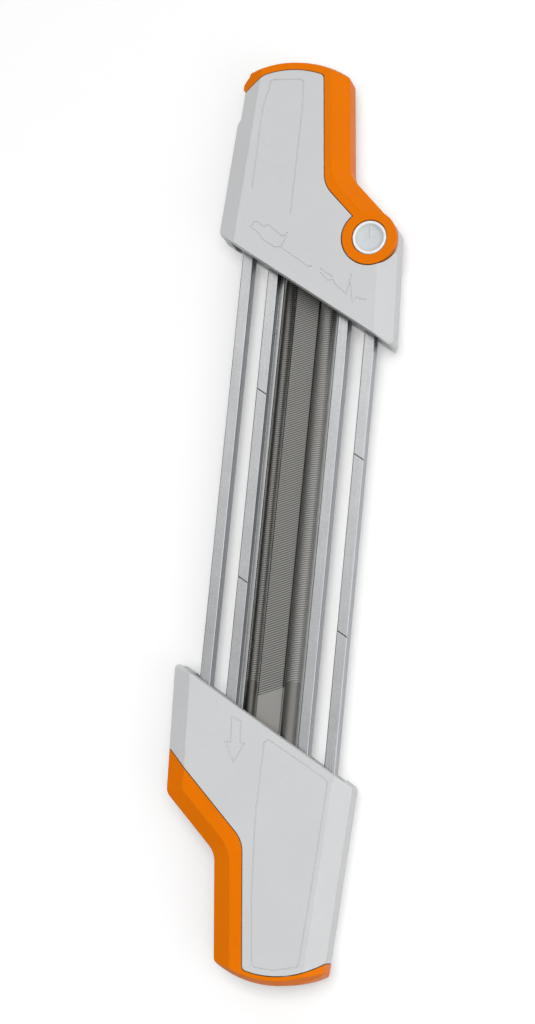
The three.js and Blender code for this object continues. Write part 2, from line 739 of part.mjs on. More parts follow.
// The flap: a channel along the neck, a band over the end, two rings and a latch tab.
function flapSolid() {
  const blank = handleBlank(UPPER_EDGE);
  const fan = [-135, -90, -45, 0].map((angle) => radians(angle));
  fan.push(shoulderInward.clone().negate().angle());
  const beside = [PIVOT, ...fan.map((angle) => (
    new THREE.Vector2(FAR, 0).rotateAround(ORIGIN, angle).add(PIVOT)
  ))];
  const channel = bandLine(WALL, UPPER_END_BAND, NECK_RADIUS + WALL, SHARP);
  const channelPath = areaInside(channel, [spot(shoulderLineAt(channel, FAR))]);
  const [sideStart, ...sideRest] = LATCH_SIDE.map(([inset, drop]) => (
    new THREE.Vector2(LONG_SIDE_X + inset, HANDLE_REACH - drop)
  ));
  const sideEnd = sideRest[sideRest.length - 1];
  const outsideTab = [
    new THREE.Vector2(sideStart.x, FAR),
    new THREE.Vector2(-FAR, FAR),
    new THREE.Vector2(-FAR, sideEnd.y),
    ...sideRest.reverse(),
    sideStart,
  ];
  const band = cutAll(blank, [
    bodyPlate(0, true),
    plate(outsideTab, -FAR, FAR),
    plate(beside, -FAR, FAR),
    plate(channelPath, -FLAP_CHANNEL_HALF, FLAP_CHANNEL_HALF),
    disc(PIVOT, FLAP_ROOT_RADIUS, -RING_INNER, RING_INNER),
  ]);
  const toe = new THREE.Vector2(HALF_WIDTH, slantedY(UPPER_EDGE, HALF_WIDTH));
  const shortSide = shoulder.clone().sub(toe);
  const inside = [
    corner(-FAR, -FAR),
    spot(crossing(toe, shortSide, new THREE.Vector2(0, -FAR), across)),
    spot(crossing(toe, shortSide, new THREE.Vector2(0, FAR), across)),
    corner(-FAR, FAR),
  ];
  const insideShortSide = toSolid(loft([
    { path: roundedPath(insetCorners(inside, [0, BACK_TAPER, 0, 0])), z: -HALF },
    { path: roundedPath(inside), z: BACK_TAPER_DEPTH - HALF },
  ]));
  const rings = [
    disc(PIVOT, RING_RADIUS, RING_INNER, HALF),
    disc(PIVOT, RING_RADIUS, -HALF, -RING_INNER).intersect(insideShortSide),
  ];
  return union([band, ...rings]).subtract(disc(PIVOT, HUB_RADIUS + SEAM, -FAR, FAR));
}

// A cap in the ring's bore, with a shallow dish and a raised pointer line.
function hubCap(isFront) {
  const top = HALF - HUB_SINK;
  const floor = top - HUB_DISH_DEPTH;
  const pointer = block(
    PIVOT.x - POINTER_WIDTH / 2,
    PIVOT.x + POINTER_WIDTH / 2,
    PIVOT.y,
    PIVOT.y + HUB_DISH_RADIUS,
    floor - POINTER_HEIGHT,
    floor + POINTER_HEIGHT,
  );
  const cap = disc(PIVOT, HUB_RADIUS, RING_INNER, top)
    .subtract(disc(PIVOT, HUB_DISH_RADIUS, floor, FAR))
    .subtract(disc(PIVOT, PIN_RADIUS + SEAM / 2, 0, PIN_HALF_LENGTH + SEAM))
    .add(pointer);
  const mesh = toMesh(isFront ? 'pivot_cap_front' : 'pivot_cap_back', cap, colours.hub);
  if (!isFront) {
    mesh.geometry.translate(-PIVOT.x, 0, 0).rotateY(Math.PI).translate(PIVOT.x, 0, 0);
  }
  return mesh;
}

// A rail from one handle to the other. The lip points to the files.
function rail(x, lipSide) {
  const half = RAIL_WIDTH / 2;
  const topEnd = slantedY(UPPER_EDGE, x) + RAIL_EMBED;
  const bottomEnd = -slantedY(LOWER_EDGE, -x) - RAIL_EMBED;
  const section = [
    corner(x - half, -RAIL_HALF, RAIL_EDGE),
    corner(x + half, -RAIL_HALF, RAIL_EDGE),
    corner(x + half, RAIL_HALF, RAIL_EDGE),
    corner(x - half, RAIL_HALF, RAIL_EDGE),
  ];
  const path = roundedPath(section);
  let solid = bar([{ path, y: bottomEnd }, { path, y: topEnd }]);
  if (lipSide !== 0) {
    const outer = RAIL_HALF - RAIL_LIP_EDGE;
    const inner = outer - RAIL_LIP_HEIGHT;
    const lipX = x + lipSide * (half + RAIL_LIP_WIDTH);
    const [low, high] = lipSide > 0 ? [-outer, -inner] : [inner, outer];
    solid = solid.add(block(Math.min(x, lipX), Math.max(x, lipX), bottomEnd, topEnd, low, high));
  }
  return solid;
}

// A fine slanted line across a rail's front or back face.
function railMark(x, y, isFront) {
  const halfX = RAIL_WIDTH;
  const face = isFront ? RAIL_HALF : -RAIL_HALF;
  const lean = isFront ? slope : -slope;
  const path = [
    new THREE.Vector2(x - halfX, y + halfX * lean - MARK_WIDTH / 2),
    new THREE.Vector2(x + halfX, y - halfX * lean - MARK_WIDTH / 2),
    new THREE.Vector2(x + halfX, y - halfX * lean + MARK_WIDTH / 2),
    new THREE.Vector2(x - halfX, y + halfX * lean + MARK_WIDTH / 2),
  ];
  return plate(path, face - MARK_DEPTH, face + MARK_DEPTH);
}

// A round file with a toothed body, a plain shank at the held end and bevelled ends.
function roundFile(x, z) {
  const centre = new THREE.Vector2(x, z);
  const ring = (radius, y) => ({ path: circle(centre, radius), y });
  return bar([
    ring(ROUND_SHANK_RADIUS - FILE_CHAMFER, -FILE_BUTT),
    ring(ROUND_SHANK_RADIUS, FILE_CHAMFER - FILE_BUTT),
    ring(ROUND_SHANK_RADIUS, ROUND_TEETH_END - TOOTH_STEP),
    ring(ROUND_FILE_RADIUS, ROUND_TEETH_END),
    ring(ROUND_FILE_RADIUS, FILE_TIP - FILE_CHAMFER),
    ring(ROUND_FILE_RADIUS - FILE_CHAMFER, FILE_TIP),
  ]);
}

// The flat file: a thin shank with thicker toothed faces that start on a slanted line.
function flatFile() {
  const half = FLAT_FILE_WIDTH / 2;
  const high = FLAT_FILE_HEIGHT / 2;
  const low = high - TOOTH_STEP;
  const section = (height) => roundedPath([
    corner(-half, -height, FLAT_FILE_EDGE),
    corner(half, -height, FLAT_FILE_EDGE),
    corner(half, height, FLAT_FILE_EDGE),
    corner(-half, height, FLAT_FILE_EDGE),
  ]);
  const shank = bar([{ path: section(low), y: -FILE_BUTT }, { path: section(low), y: FILE_TIP }]);
  const toothed = bar([{ path: section(high), y: -FILE_BUTT }, { path: section(high), y: FILE_TIP }]);
  const teethArea = plate([
    new THREE.Vector2(-half, FLAT_TEETH_LEFT),
    new THREE.Vector2(half, FLAT_TEETH_RIGHT),
    new THREE.Vector2(half, FILE_TIP),
    new THREE.Vector2(-half, FILE_TIP),
  ], -HALF, HALF);
  return shank.add(toothed.intersect(teethArea));
}

// The screws of one handle, with their heads at the back.
function screws(isUpper) {
  const bottom = SCREW_HEAD_SINK - HALF;
  const seat = bottom + SCREW_HEAD_HEIGHT;
  const names = ['screw_near', 'screw_far', 'screw_grip'];
  return screwPlaces(isUpper).map((at, i) => {
    const solid = disc(at, SCREW_HEAD_RADIUS, bottom, seat)
      .add(disc(at, SCREW_RADIUS, bottom, SCREW_TIP))
      .subtract(disc(at, SCREW_SOCKET_RADIUS, bottom - SEAM, bottom + SCREW_SOCKET_DEPTH));
    return toMesh(`${isUpper ? 'upper' : 'lower'}_${names[i]}`, solid, colours.screw);
  });
}

function upperHandle() {
  const lines = [
    UPPER_PANEL,
    SAW_UNDERSIDE,
    SAW_TOP,
    SAW_NOSE,
    CUTTER_BACK,
    CUTTER_EDGE,
    CUTTER_TIP,
  ];
  const front = engraved(frontHalf(handleBody(true, UPPER_EDGE)), lines, 1);
  const back = backHalf(handleBody(true, UPPER_EDGE - LIP_STEP));
  const pin = disc(PIVOT, PIN_RADIUS, -PIN_HALF_LENGTH, PIN_HALF_LENGTH);
  return [
    toMesh('upper_front_shell', front, colours.grey),
    toMesh('upper_back_shell', back, colours.grey),
    toMesh('upper_guide_block', guideBlock(true), colours.block),
    ...screws(true),
    toMesh('flap', flapSolid(), colours.orange),
    toMesh('pivot_pin', pin, colours.screw),
    hubCap(true),
    hubCap(false),
  ];
}

function lowerHandle() {
  const lines = [LOWER_PANEL, ARROW_SHAFT, ARROW_HEAD];
  const front = engraved(frontHalf(handleBody(false, LOWER_EDGE)), lines, -1);
  const back = backHalf(handleBody(false, LOWER_EDGE - LIP_STEP));
  const wholeBand = handleBlank(LOWER_EDGE).subtract(bodyPlate(0, false));
  const band = cutAll(wholeBand, fileLanes(false, FILE_BUTT + SEAM));
  return [
    toMesh('lower_front_shell', front, colours.grey),
    toMesh('lower_back_shell', back, colours.grey),
    toMesh('lower_grip_band', band, colours.orange),
    toMesh('lower_guide_block', guideBlock(false), colours.block),
    ...screws(false),
  ].map(turned);
}

function rails() {
  const innerLeft = rail(-INNER_RAIL_X, 1);
  const innerRight = rail(INNER_RAIL_X, -1);
  const outerLeft = rail(-OUTER_RAIL_X, 0);
  const outerRight = rail(OUTER_RAIL_X, 0);
  const innerMarks = [INNER_MARK_HIGH, INNER_MARK_LOW];
  const outerMarks = [OUTER_MARK_HIGH, OUTER_MARK_LOW];
  const marked = (solid, marks, x, isFront) => (
    cutAll(solid, marks.map((y) => railMark(x, y, isFront)))
  );
  return [
    toMesh('rail_outer_left', marked(outerLeft, outerMarks, -OUTER_RAIL_X, false), colours.rail),
    toMesh('rail_inner_left', marked(innerLeft, innerMarks, -INNER_RAIL_X, true), colours.rail),
    toMesh('rail_inner_right', marked(innerRight, innerMarks, INNER_RAIL_X, false), colours.rail),
    toMesh('rail_outer_right', marked(outerRight, outerMarks, OUTER_RAIL_X, true), colours.rail),
  ];
}

function files() {
  return [
    toMesh('round_file_left', roundFile(-ROUND_FILE_X, -ROUND_FILE_RISE), colours.file),
    toMesh('round_file_right', roundFile(ROUND_FILE_X, ROUND_FILE_RISE), colours.file),
    toMesh('flat_file', flatFile(), colours.file),
  ];
}

const tool = new THREE.Group();
tool.name = 'file_guide';
tool.add(...upperHandle(), ...lowerHandle(), ...rails(), ...files());
tool.position.z = HALF;

export default tool;
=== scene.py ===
# %% [markdown]
# # A chainsaw file guide
# Two plastic handles are joined by four steel rails, and between the rails lie a flat file and two
# round files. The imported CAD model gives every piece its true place, so this lesson only adds what
# CAD leaves out: finishes, file teeth, soft edges, light and a camera. Lengths in the named values
# are millimetres, as on a drawing, and `mm` turns them into Blender's metres.

# %% Load the frame
import math

import bmesh
import bpy
from mathutils import Matrix, Vector


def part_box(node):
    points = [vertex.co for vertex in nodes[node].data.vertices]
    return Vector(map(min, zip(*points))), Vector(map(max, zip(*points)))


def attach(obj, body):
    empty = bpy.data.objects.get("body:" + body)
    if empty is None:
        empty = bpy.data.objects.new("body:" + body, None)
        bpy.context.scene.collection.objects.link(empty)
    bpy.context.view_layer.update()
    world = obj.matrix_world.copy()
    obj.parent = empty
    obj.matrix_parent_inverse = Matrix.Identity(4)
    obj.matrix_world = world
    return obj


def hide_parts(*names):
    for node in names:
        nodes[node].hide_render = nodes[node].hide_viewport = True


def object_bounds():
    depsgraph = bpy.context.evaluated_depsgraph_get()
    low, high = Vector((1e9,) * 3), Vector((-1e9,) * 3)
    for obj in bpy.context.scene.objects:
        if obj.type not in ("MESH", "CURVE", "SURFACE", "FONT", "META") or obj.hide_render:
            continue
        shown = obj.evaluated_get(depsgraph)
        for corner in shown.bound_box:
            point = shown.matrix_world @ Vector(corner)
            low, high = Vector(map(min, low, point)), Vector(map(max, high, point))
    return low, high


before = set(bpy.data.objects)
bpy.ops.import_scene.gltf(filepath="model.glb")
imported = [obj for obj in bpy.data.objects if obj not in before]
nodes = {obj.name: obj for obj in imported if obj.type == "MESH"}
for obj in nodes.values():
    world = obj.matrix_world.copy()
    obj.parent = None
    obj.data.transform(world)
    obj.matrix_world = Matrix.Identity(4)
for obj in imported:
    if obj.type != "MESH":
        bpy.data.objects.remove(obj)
cad_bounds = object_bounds()
mm = 0.001
print("pieces in the frame:", len(nodes))


def middle_of(node_name):
    """The middle of a CAD piece in millimetres."""
    low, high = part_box(node_name)
    return (low + high) / 2 / mm


print("middle of the flat file:", tuple(round(value, 2) for value in middle_of("flat_file")))

# %% [markdown]
# ## The camera
# The photograph looks down on the tool from its right and from below. A camera is placed by three
# directions of its own: right, up and backwards. Written as the columns of a matrix they turn it,
# which is safer than three angles, because nothing depends on their order. The long lens keeps the
# sides of the tool nearly parallel.

# %% Place the camera
CAMERA_PLACE = Vector((200, -131, 811)) * mm
CAMERA_RIGHT = (0.96710379, 0.09701353, -0.2351566)
CAMERA_UP = (-0.05602488, 0.98295381, 0.17510862)
CAMERA_BACK = (0.24813598, -0.15617359, 0.95605353)
SENSOR = 36
LENS = 86.06

camera_data = bpy.data.cameras.new("camera")
camera_data.sensor_fit = "VERTICAL"
camera_data.sensor_height = SENSOR
camera_data.lens = LENS
camera = bpy.data.objects.new("camera", camera_data)
turn = Matrix((CAMERA_RIGHT, CAMERA_UP, CAMERA_BACK)).transposed().to_4x4()
camera.matrix_world = Matrix.Translation(CAMERA_PLACE) @ turn
bpy.context.scene.collection.objects.link(camera)
bpy.context.scene.camera = camera
print("camera distance in metres:", round(CAMERA_PLACE.length, 3))

# %% [markdown]
# ## Floor, sky and lamps
# A packshot stands on white paper that shows only a faint shadow. Paper lit until it is white would
# need so much light that the pale handles burn out. So the floor glows a little by itself, but only
# where the camera or a mirror sees it, and the rest of its brightness comes from the lamps, which
# leaves the tool's shadow on it.

# %% Node helpers
def place_node(tree, kind, **values):
    """Adds a node and sets its inputs or properties by name. From_Min stands for From Min."""
    node = tree.nodes.new(kind)
    for key, value in values.items():
        title = key.replace("_", " ")
        if title in node.inputs:
            node.inputs[title].default_value = value
        else:
            setattr(node, key, value)
    return node


def maths(tree, operation, first, second=None, clamp=False):
    """A Math node whose inputs are numbers or sockets. Returns its output."""
    node = tree.nodes.new("ShaderNodeMath")
    node.operation = operation
    node.use_clamp = clamp
    for socket, value in zip(node.inputs, (first, second)):
        if value is None:
            continue
        if isinstance(value, bpy.types.NodeSocket):
            tree.links.new(value, socket)
        else:
            socket.default_value = value
    return node.outputs[0]


def seen_directly(tree):
    """One for rays from the camera, mirrors and glass, and zero for the light in the room."""
    path = tree.nodes.new("ShaderNodeLightPath")
    total = maths(tree, "ADD", path.outputs["Is Camera Ray"], path.outputs["Is Glossy Ray"])
    return maths(tree, "ADD", total, path.outputs["Is Transmission Ray"], clamp=True)


print("node helpers ready")

# %% Floor
FLOOR_SIZE = 6000
FLOOR_DROP = 0.2  # keeps the paper clear of the tool's flat back
PAPER_WHITE = (0.9, 0.9, 0.9, 1)
GLOW_WHITE = (1, 1, 1, 1)
FLOOR_GLOW = 0.16
FAR_GLOW = 0.9  # added far from the tool, where the lamps no longer reach
FAR_START = 350
FAR_END = 1600

floor_mesh = bpy.data.meshes.new("floor")
half_floor = FLOOR_SIZE / 2 * mm
floor_mesh.from_pydata(
    [(-half_floor, -half_floor, 0), (half_floor, -half_floor, 0),
     (half_floor, half_floor, 0), (-half_floor, half_floor, 0)],
    [], [(0, 1, 2, 3)],
)
floor = bpy.data.objects.new("floor", floor_mesh)
bpy.context.scene.collection.objects.link(floor)
floor.location.z = cad_bounds[0][2] - FLOOR_DROP * mm

paper = bpy.data.materials.new("white_paper")
paper.use_nodes = True
tree = paper.node_tree
tree.nodes.clear()
output = tree.nodes.new("ShaderNodeOutputMaterial")
matt = place_node(tree, "ShaderNodeBsdfDiffuse", Color=PAPER_WHITE)
glow = place_node(tree, "ShaderNodeEmission", Color=GLOW_WHITE)
both = tree.nodes.new("ShaderNodeAddShader")
place = tree.nodes.new("ShaderNodeTexCoord")
reach = place_node(tree, "ShaderNodeVectorMath", operation="LENGTH")
tree.links.new(place.outputs["Object"], reach.inputs[0])
far_away = place_node(
    tree, "ShaderNodeMapRange", interpolation_type="SMOOTHSTEP", From_Min=FAR_START * mm,
    From_Max=FAR_END * mm, To_Min=FLOOR_GLOW, To_Max=FLOOR_GLOW + FAR_GLOW)
tree.links.new(reach.outputs["Value"], far_away.inputs["Value"])
strength = maths(tree, "MULTIPLY", seen_directly(tree), far_away.outputs["Result"])
tree.links.new(strength, glow.inputs["Strength"])
tree.links.new(matt.outputs[0], both.inputs[0])
tree.links.new(glow.outputs[0], both.inputs[1])
tree.links.new(both.outputs[0], output.inputs["Surface"])
floor_mesh.materials.append(paper)
print("floor height in mm:", round(floor.location.z / mm, 2))

# %% Sky
# Steel shows what stands around it. The photograph's rails fade from bright at the flap's end to
# grey at the other, so the sky is bright beyond the flap and greyer on the near side.
SKY_BRIGHT = 1.25
SKY_GREY = 0.25
SKY_SIDE_SHARE = 0.9
SKY_LOW_EDGE = -0.3
SKY_HIGH_EDGE = 0.1
SKY_ROOM_SHARE = 0.55  # the share of its brightness with which the sky lights matt surfaces

world = bpy.data.worlds.new("studio")
bpy.context.scene.world = world
world.use_nodes = True
tree = world.node_tree
tree.nodes.clear()
output = tree.nodes.new("ShaderNodeOutputWorld")
background = tree.nodes.new("ShaderNodeBackground")
direction = tree.nodes.new("ShaderNodeTexCoord")
parts = tree.nodes.new("ShaderNodeSeparateXYZ")
tree.links.new(direction.outputs["Generated"], parts.inputs[0])
sideways = maths(tree, "MULTIPLY", parts.outputs["X"], SKY_SIDE_SHARE)
fade = place_node(
    tree, "ShaderNodeMapRange", interpolation_type="SMOOTHSTEP", From_Min=SKY_LOW_EDGE,
    From_Max=SKY_HIGH_EDGE, To_Min=SKY_GREY, To_Max=SKY_BRIGHT)
tree.links.new(maths(tree, "ADD", parts.outputs["Y"], sideways), fade.inputs["Value"])
path = tree.nodes.new("ShaderNodeLightPath")
dimming = maths(tree, "MULTIPLY", path.outputs["Is Diffuse Ray"], 1 - SKY_ROOM_SHARE)
kept_share = maths(tree, "SUBTRACT", 1, dimming)
dimmed = maths(tree, "MULTIPLY", fade.outputs["Result"], kept_share)
strength = maths(tree, "MAXIMUM", dimmed, path.outputs["Is Camera Ray"])
tree.links.new(strength, background.inputs["Strength"])
tree.links.new(background.outputs[0], output.inputs["Surface"])
print("sky ready")

# %% Lamps
# Each lamp has a place, a size and a power in watts. The lamps don't show in the steel, which would
# burn out under them.
LAMPS = {
    "top_lamp": ((120, -50, 1180), 600, 8.3),
    "side_lamp": ((700, -400, 900), 700, 1.6),
}

for name, (place, size, power) in LAMPS.items():
    lamp_data = bpy.data.lights.new(name, "AREA")
    lamp_data.shape = "SQUARE"
    lamp_data.size = size * mm
    lamp_data.energy = power
    lamp = bpy.data.objects.new(name, lamp_data)
    lamp.location = Vector(place) * mm
    lamp.rotation_euler = (-lamp.location).to_track_quat("-Z", "Y").to_euler()
    lamp.visible_glossy = False
    bpy.context.scene.collection.objects.link(lamp)
    print(name, "power in watts:", power)

bpy.context.scene.view_settings.view_transform = "Standard"

# %% [markdown]
# ## Effects that several finishes share
# Grey plastic, orange plastic and steel differ in colour, but all of them have softened edges,
# slight stains and fine grain. Each effect is a node group, made once and placed in each material
# with its own values. A group gives out only numbers, colours and directions, and the
# shader itself stays in the material.

# %% Group builder
def effect_group(name, inputs, outputs):
    """An empty node group with named sockets. Returns the tree and its two end nodes."""
    group = bpy.data.node_groups.new(name, "ShaderNodeTree")
    for title, kind, value in inputs:
        socket = group.interface.new_socket(title, in_out="INPUT", socket_type=kind)
        socket.default_value = value
    for title, kind in outputs:
        group.interface.new_socket(title, in_out="OUTPUT", socket_type=kind)
    start = group.nodes.new("NodeGroupInput")
    finish = group.nodes.new("NodeGroupOutput")
    return group, start, finish


def object_place(tree):
    """Each point's place in the space of its own piece."""
    return tree.nodes.new("ShaderNodeTexCoord").outputs["Object"]


FLOAT = "NodeSocketFloat"
VECTOR = "NodeSocketVector"
COLOUR = "NodeSocketColor"
print("group builder ready")

# %% Worn edges
# The Bevel node looks around each point and returns the direction of a rounded surface. Where that
# differs from the flat face, there is an edge. The finishes make it paler, partly as wear from
# hands and knocks and partly as a painted highlight.
worn_edges, start, finish = effect_group(
    "worn_edges",
    [("Radius", FLOAT, 0.0004), ("Patchiness", FLOAT, 0.6)],
    [("Edge", FLOAT), ("Normal", VECTOR)],
)
EDGE_SAMPLES = 6
EDGE_GAIN = 8  # how soon a turn of the surface counts as a full edge
PATCH_SCALE = 900
PATCH_DETAIL = 3.0
tree = worn_edges
rounding = place_node(tree, "ShaderNodeBevel", samples=EDGE_SAMPLES)
tree.links.new(start.outputs["Radius"], rounding.inputs["Radius"])
surface = tree.nodes.new("ShaderNodeNewGeometry")
compare = place_node(tree, "ShaderNodeVectorMath", operation="DOT_PRODUCT")
tree.links.new(rounding.outputs["Normal"], compare.inputs[0])
tree.links.new(surface.outputs["True Normal"], compare.inputs[1])
sharpness = maths(tree, "SUBTRACT", 1, compare.outputs["Value"], clamp=True)
edge = maths(tree, "MULTIPLY", sharpness, EDGE_GAIN, clamp=True)
patches = place_node(tree, "ShaderNodeTexNoise", Scale=PATCH_SCALE, Detail=PATCH_DETAIL)
tree.links.new(object_place(tree), patches.inputs["Vector"])
rest = maths(tree, "MULTIPLY", patches.outputs["Fac"], start.outputs["Patchiness"])
kept = maths(tree, "SUBTRACT", 1, rest, clamp=True)
tree.links.new(maths(tree, "MULTIPLY", edge, kept), finish.inputs["Edge"])
tree.links.new(rounding.outputs["Normal"], finish.inputs["Normal"])
print("group ready:", worn_edges.name)

# %% Mottled colour
# No moulded part has quite one colour. Two sizes of soft noise shift its brightness a little.
mottled_colour, start, finish = effect_group(
    "mottled_colour",
    [("Colour", COLOUR, (0.5, 0.5, 0.5, 1)), ("Amount", FLOAT, 0.05), ("Scale", FLOAT, 60)],
    [("Colour", COLOUR), ("Stain", FLOAT)],
)
FINE_SHARE = 14  # the fine noise repeats this many times as often as the broad one
SHIFT_GAIN = 2  # noise seldom reaches its ends, so its shift is doubled
tree = mottled_colour
broad = place_node(tree, "ShaderNodeTexNoise", Detail=4.0, Roughness=0.55)
tree.links.new(object_place(tree), broad.inputs["Vector"])
tree.links.new(start.outputs["Scale"], broad.inputs["Scale"])
fine = place_node(tree, "ShaderNodeTexNoise", Detail=3.0, Roughness=0.6)
tree.links.new(object_place(tree), fine.inputs["Vector"])
fine_scale = maths(tree, "MULTIPLY", start.outputs["Scale"], FINE_SHARE)
tree.links.new(fine_scale, fine.inputs["Scale"])
blend = maths(tree, "ADD", broad.outputs["Fac"], fine.outputs["Fac"])
centred = maths(tree, "SUBTRACT", blend, 1)
shift = maths(tree, "MULTIPLY", centred, start.outputs["Amount"])
shift = maths(tree, "MULTIPLY", shift, SHIFT_GAIN)
bright = place_node(tree, "ShaderNodeHueSaturation")
tree.links.new(start.outputs["Colour"], bright.inputs["Color"])
tree.links.new(maths(tree, "ADD", shift, 1), bright.inputs["Value"])
tree.links.new(bright.outputs["Color"], finish.inputs["Colour"])
tree.links.new(broad.outputs["Fac"], finish.inputs["Stain"])
print("group ready:", mottled_colour.name)

# %% Moulded grain
# A mould is etched, so its plastic has a skin of tiny round pits with a softer unevenness below.
moulded_grain, start, finish = effect_group(
    "moulded_grain",
    [("Scale", FLOAT, 3000)],
    [("Height", FLOAT)],
)
SWELL_SHARE = 0.12  # the scale of the swell, as a share of the scale of the pits
PIT_DEPTH = 0.5
tree = moulded_grain
pits = place_node(tree, "ShaderNodeTexVoronoi", feature="SMOOTH_F1")
tree.links.new(object_place(tree), pits.inputs["Vector"])
tree.links.new(start.outputs["Scale"], pits.inputs["Scale"])
swell = place_node(tree, "ShaderNodeTexNoise", Detail=2.0)
tree.links.new(object_place(tree), swell.inputs["Vector"])
swell_scale = maths(tree, "MULTIPLY", start.outputs["Scale"], SWELL_SHARE)
tree.links.new(swell_scale, swell.inputs["Scale"])
depth = maths(tree, "MULTIPLY", pits.outputs["Distance"], PIT_DEPTH)
tree.links.new(maths(tree, "ADD", depth, swell.outputs["Fac"]), finish.inputs["Height"])
print("group ready:", moulded_grain.name)

# %% Drawn lines
# Rails and files are drawn or ground along their length, which leaves long fine lines. Noise that
# is stretched along the tool gives them.
drawn_lines, start, finish = effect_group(
    "drawn_lines",
    [("Across", FLOAT, 2600), ("Along", FLOAT, 30)],
    [("Line", FLOAT)],
)
tree = drawn_lines
stretch = tree.nodes.new("ShaderNodeCombineXYZ")
tree.links.new(start.outputs["Across"], stretch.inputs["X"])
tree.links.new(start.outputs["Along"], stretch.inputs["Y"])
tree.links.new(start.outputs["Across"], stretch.inputs["Z"])
stretched = place_node(tree, "ShaderNodeVectorMath", operation="MULTIPLY")
tree.links.new(object_place(tree), stretched.inputs[0])
tree.links.new(stretch.outputs[0], stretched.inputs[1])
lines = place_node(tree, "ShaderNodeTexNoise", Scale=1.0, Detail=3.0, Roughness=0.65)
tree.links.new(stretched.outputs[0], lines.inputs["Vector"])
tree.links.new(lines.outputs["Fac"], finish.inputs["Line"])
print("group ready:", drawn_lines.name)

# %% [markdown]
# ## Finishes
# Every finish is one Principled shader. Its colour is mottled and grows paler along the edges,
# partly as wear and partly as a painted highlight. Its roughness follows the stains on plastic and
# the drawn lines on steel. Its bump stands on the softened edge normal. Values that are the same
# all over are set on the shader's own sockets.

# %% Material builder
def place_group(tree, group, **values):
    """Places a shared effect and sets its inputs by name."""
    node = tree.nodes.new("ShaderNodeGroup")
    node.node_tree = group
    for key, value in values.items():
        node.inputs[key].default_value = value
    return node


def mix_colours(tree, share, first, second):
    """Mixes two colours by a socket that runs from zero to one."""
    node = tree.nodes.new("ShaderNodeMix")
    node.data_type = "RGBA"
    tree.links.new(share, node.inputs[0])
    colour_inputs = [socket for socket in node.inputs if socket.type == "RGBA"]
    for socket, value in zip(colour_inputs, (first, second)):
        if isinstance(value, bpy.types.NodeSocket):
            tree.links.new(value, socket)
        else:
            socket.default_value = value
    return next(socket for socket in node.outputs if socket.type == "RGBA")


def linear(red, green, blue):
    """Turns a colour written in screen values from 0 to 255 into Blender's linear light."""
    def one(value):
        share = value / 255
        return share / 12.92 if share <= 0.04045 else ((share + 0.055) / 1.055) ** 2.4
    return (one(red), one(green), one(blue), 1)


def start_material(name, metallic, specular=0.5):
    """A material with one Principled shader. Returns the material, its tree and the shader."""
    material = bpy.data.materials.new(name)
    material.use_nodes = True
    tree = material.node_tree
    tree.nodes.clear()
    output = tree.nodes.new("ShaderNodeOutputMaterial")
    shader = place_node(
        tree, "ShaderNodeBsdfPrincipled", Metallic=metallic, Specular_IOR_Level=specular)
    tree.links.new(shader.outputs[0], output.inputs["Surface"])
    return material, tree, shader


NOISE_LOW = 0.3
NOISE_HIGH = 0.7


def roughness_between(tree, noise, rough):
    """Spreads a noise, which seldom leaves its middle, over a range of roughness."""
    node = place_node(tree, "ShaderNodeMapRange", From_Min=NOISE_LOW, From_Max=NOISE_HIGH,
                      To_Min=rough[0], To_Max=rough[1])
    tree.links.new(noise, node.inputs["Value"])
    return node.outputs["Result"]


def add_bump(tree, shader, height, normal, strength, depth):
    """Stands fine relief on a softened normal. Depth is in millimetres."""
    bump = place_node(tree, "ShaderNodeBump", Strength=strength, Distance=depth * mm)
    tree.links.new(height, bump.inputs["Height"])
    tree.links.new(normal, bump.inputs["Normal"])
    tree.links.new(bump.outputs["Normal"], shader.inputs["Normal"])


print("material builder ready")

# %% Plastics
PLASTIC_EDGE = 0.35
PLASTIC_GRAIN = 3000
PLASTIC_BUMP = 0.35
PLASTIC_RELIEF = 0.03
BOUNCE_SHARE = 0.85


def plastic(name, colour, wear_and_highlight_colour, amount, rough, specular=0.4, bounce=None, painted_highlight=None):
    """Moulded plastic. Bounce is the colour that the light takes from it to other surfaces. The
    last argument is the colour of a painted highlight, laid where the mesh's own values mark it."""
    material, tree, shader = start_material(name, metallic=0, specular=specular)
    mottle = place_group(tree, mottled_colour, Colour=colour, Amount=amount)
    edges = place_group(tree, worn_edges, Radius=PLASTIC_EDGE * mm)
    skin = place_group(tree, moulded_grain, Scale=PLASTIC_GRAIN)
    # Edges take the paler colour: partly wear, partly a painted highlight.
    colour_out = mix_colours(tree, edges.outputs["Edge"], mottle.outputs["Colour"], wear_and_highlight_colour)
    # A painted highlight, where the mesh marks the rim of a hub cap.
    if painted_highlight:
        rubbed = place_node(tree, "ShaderNodeAttribute", attribute_name="rubbed")
        colour_out = mix_colours(tree, rubbed.outputs["Fac"], colour_out, painted_highlight)
    if bounce:
        path = tree.nodes.new("ShaderNodeLightPath")
        share = maths(tree, "MULTIPLY", path.outputs["Is Diffuse Ray"], BOUNCE_SHARE)
        colour_out = mix_colours(tree, share, colour_out, bounce)
    tree.links.new(colour_out, shader.inputs["Base Color"])
    roughness = roughness_between(tree, mottle.outputs["Stain"], rough)
    tree.links.new(roughness, shader.inputs["Roughness"])
    add_bump(tree, shader, skin.outputs["Height"], edges.outputs["Normal"], PLASTIC_BUMP,
             PLASTIC_RELIEF)
    return material


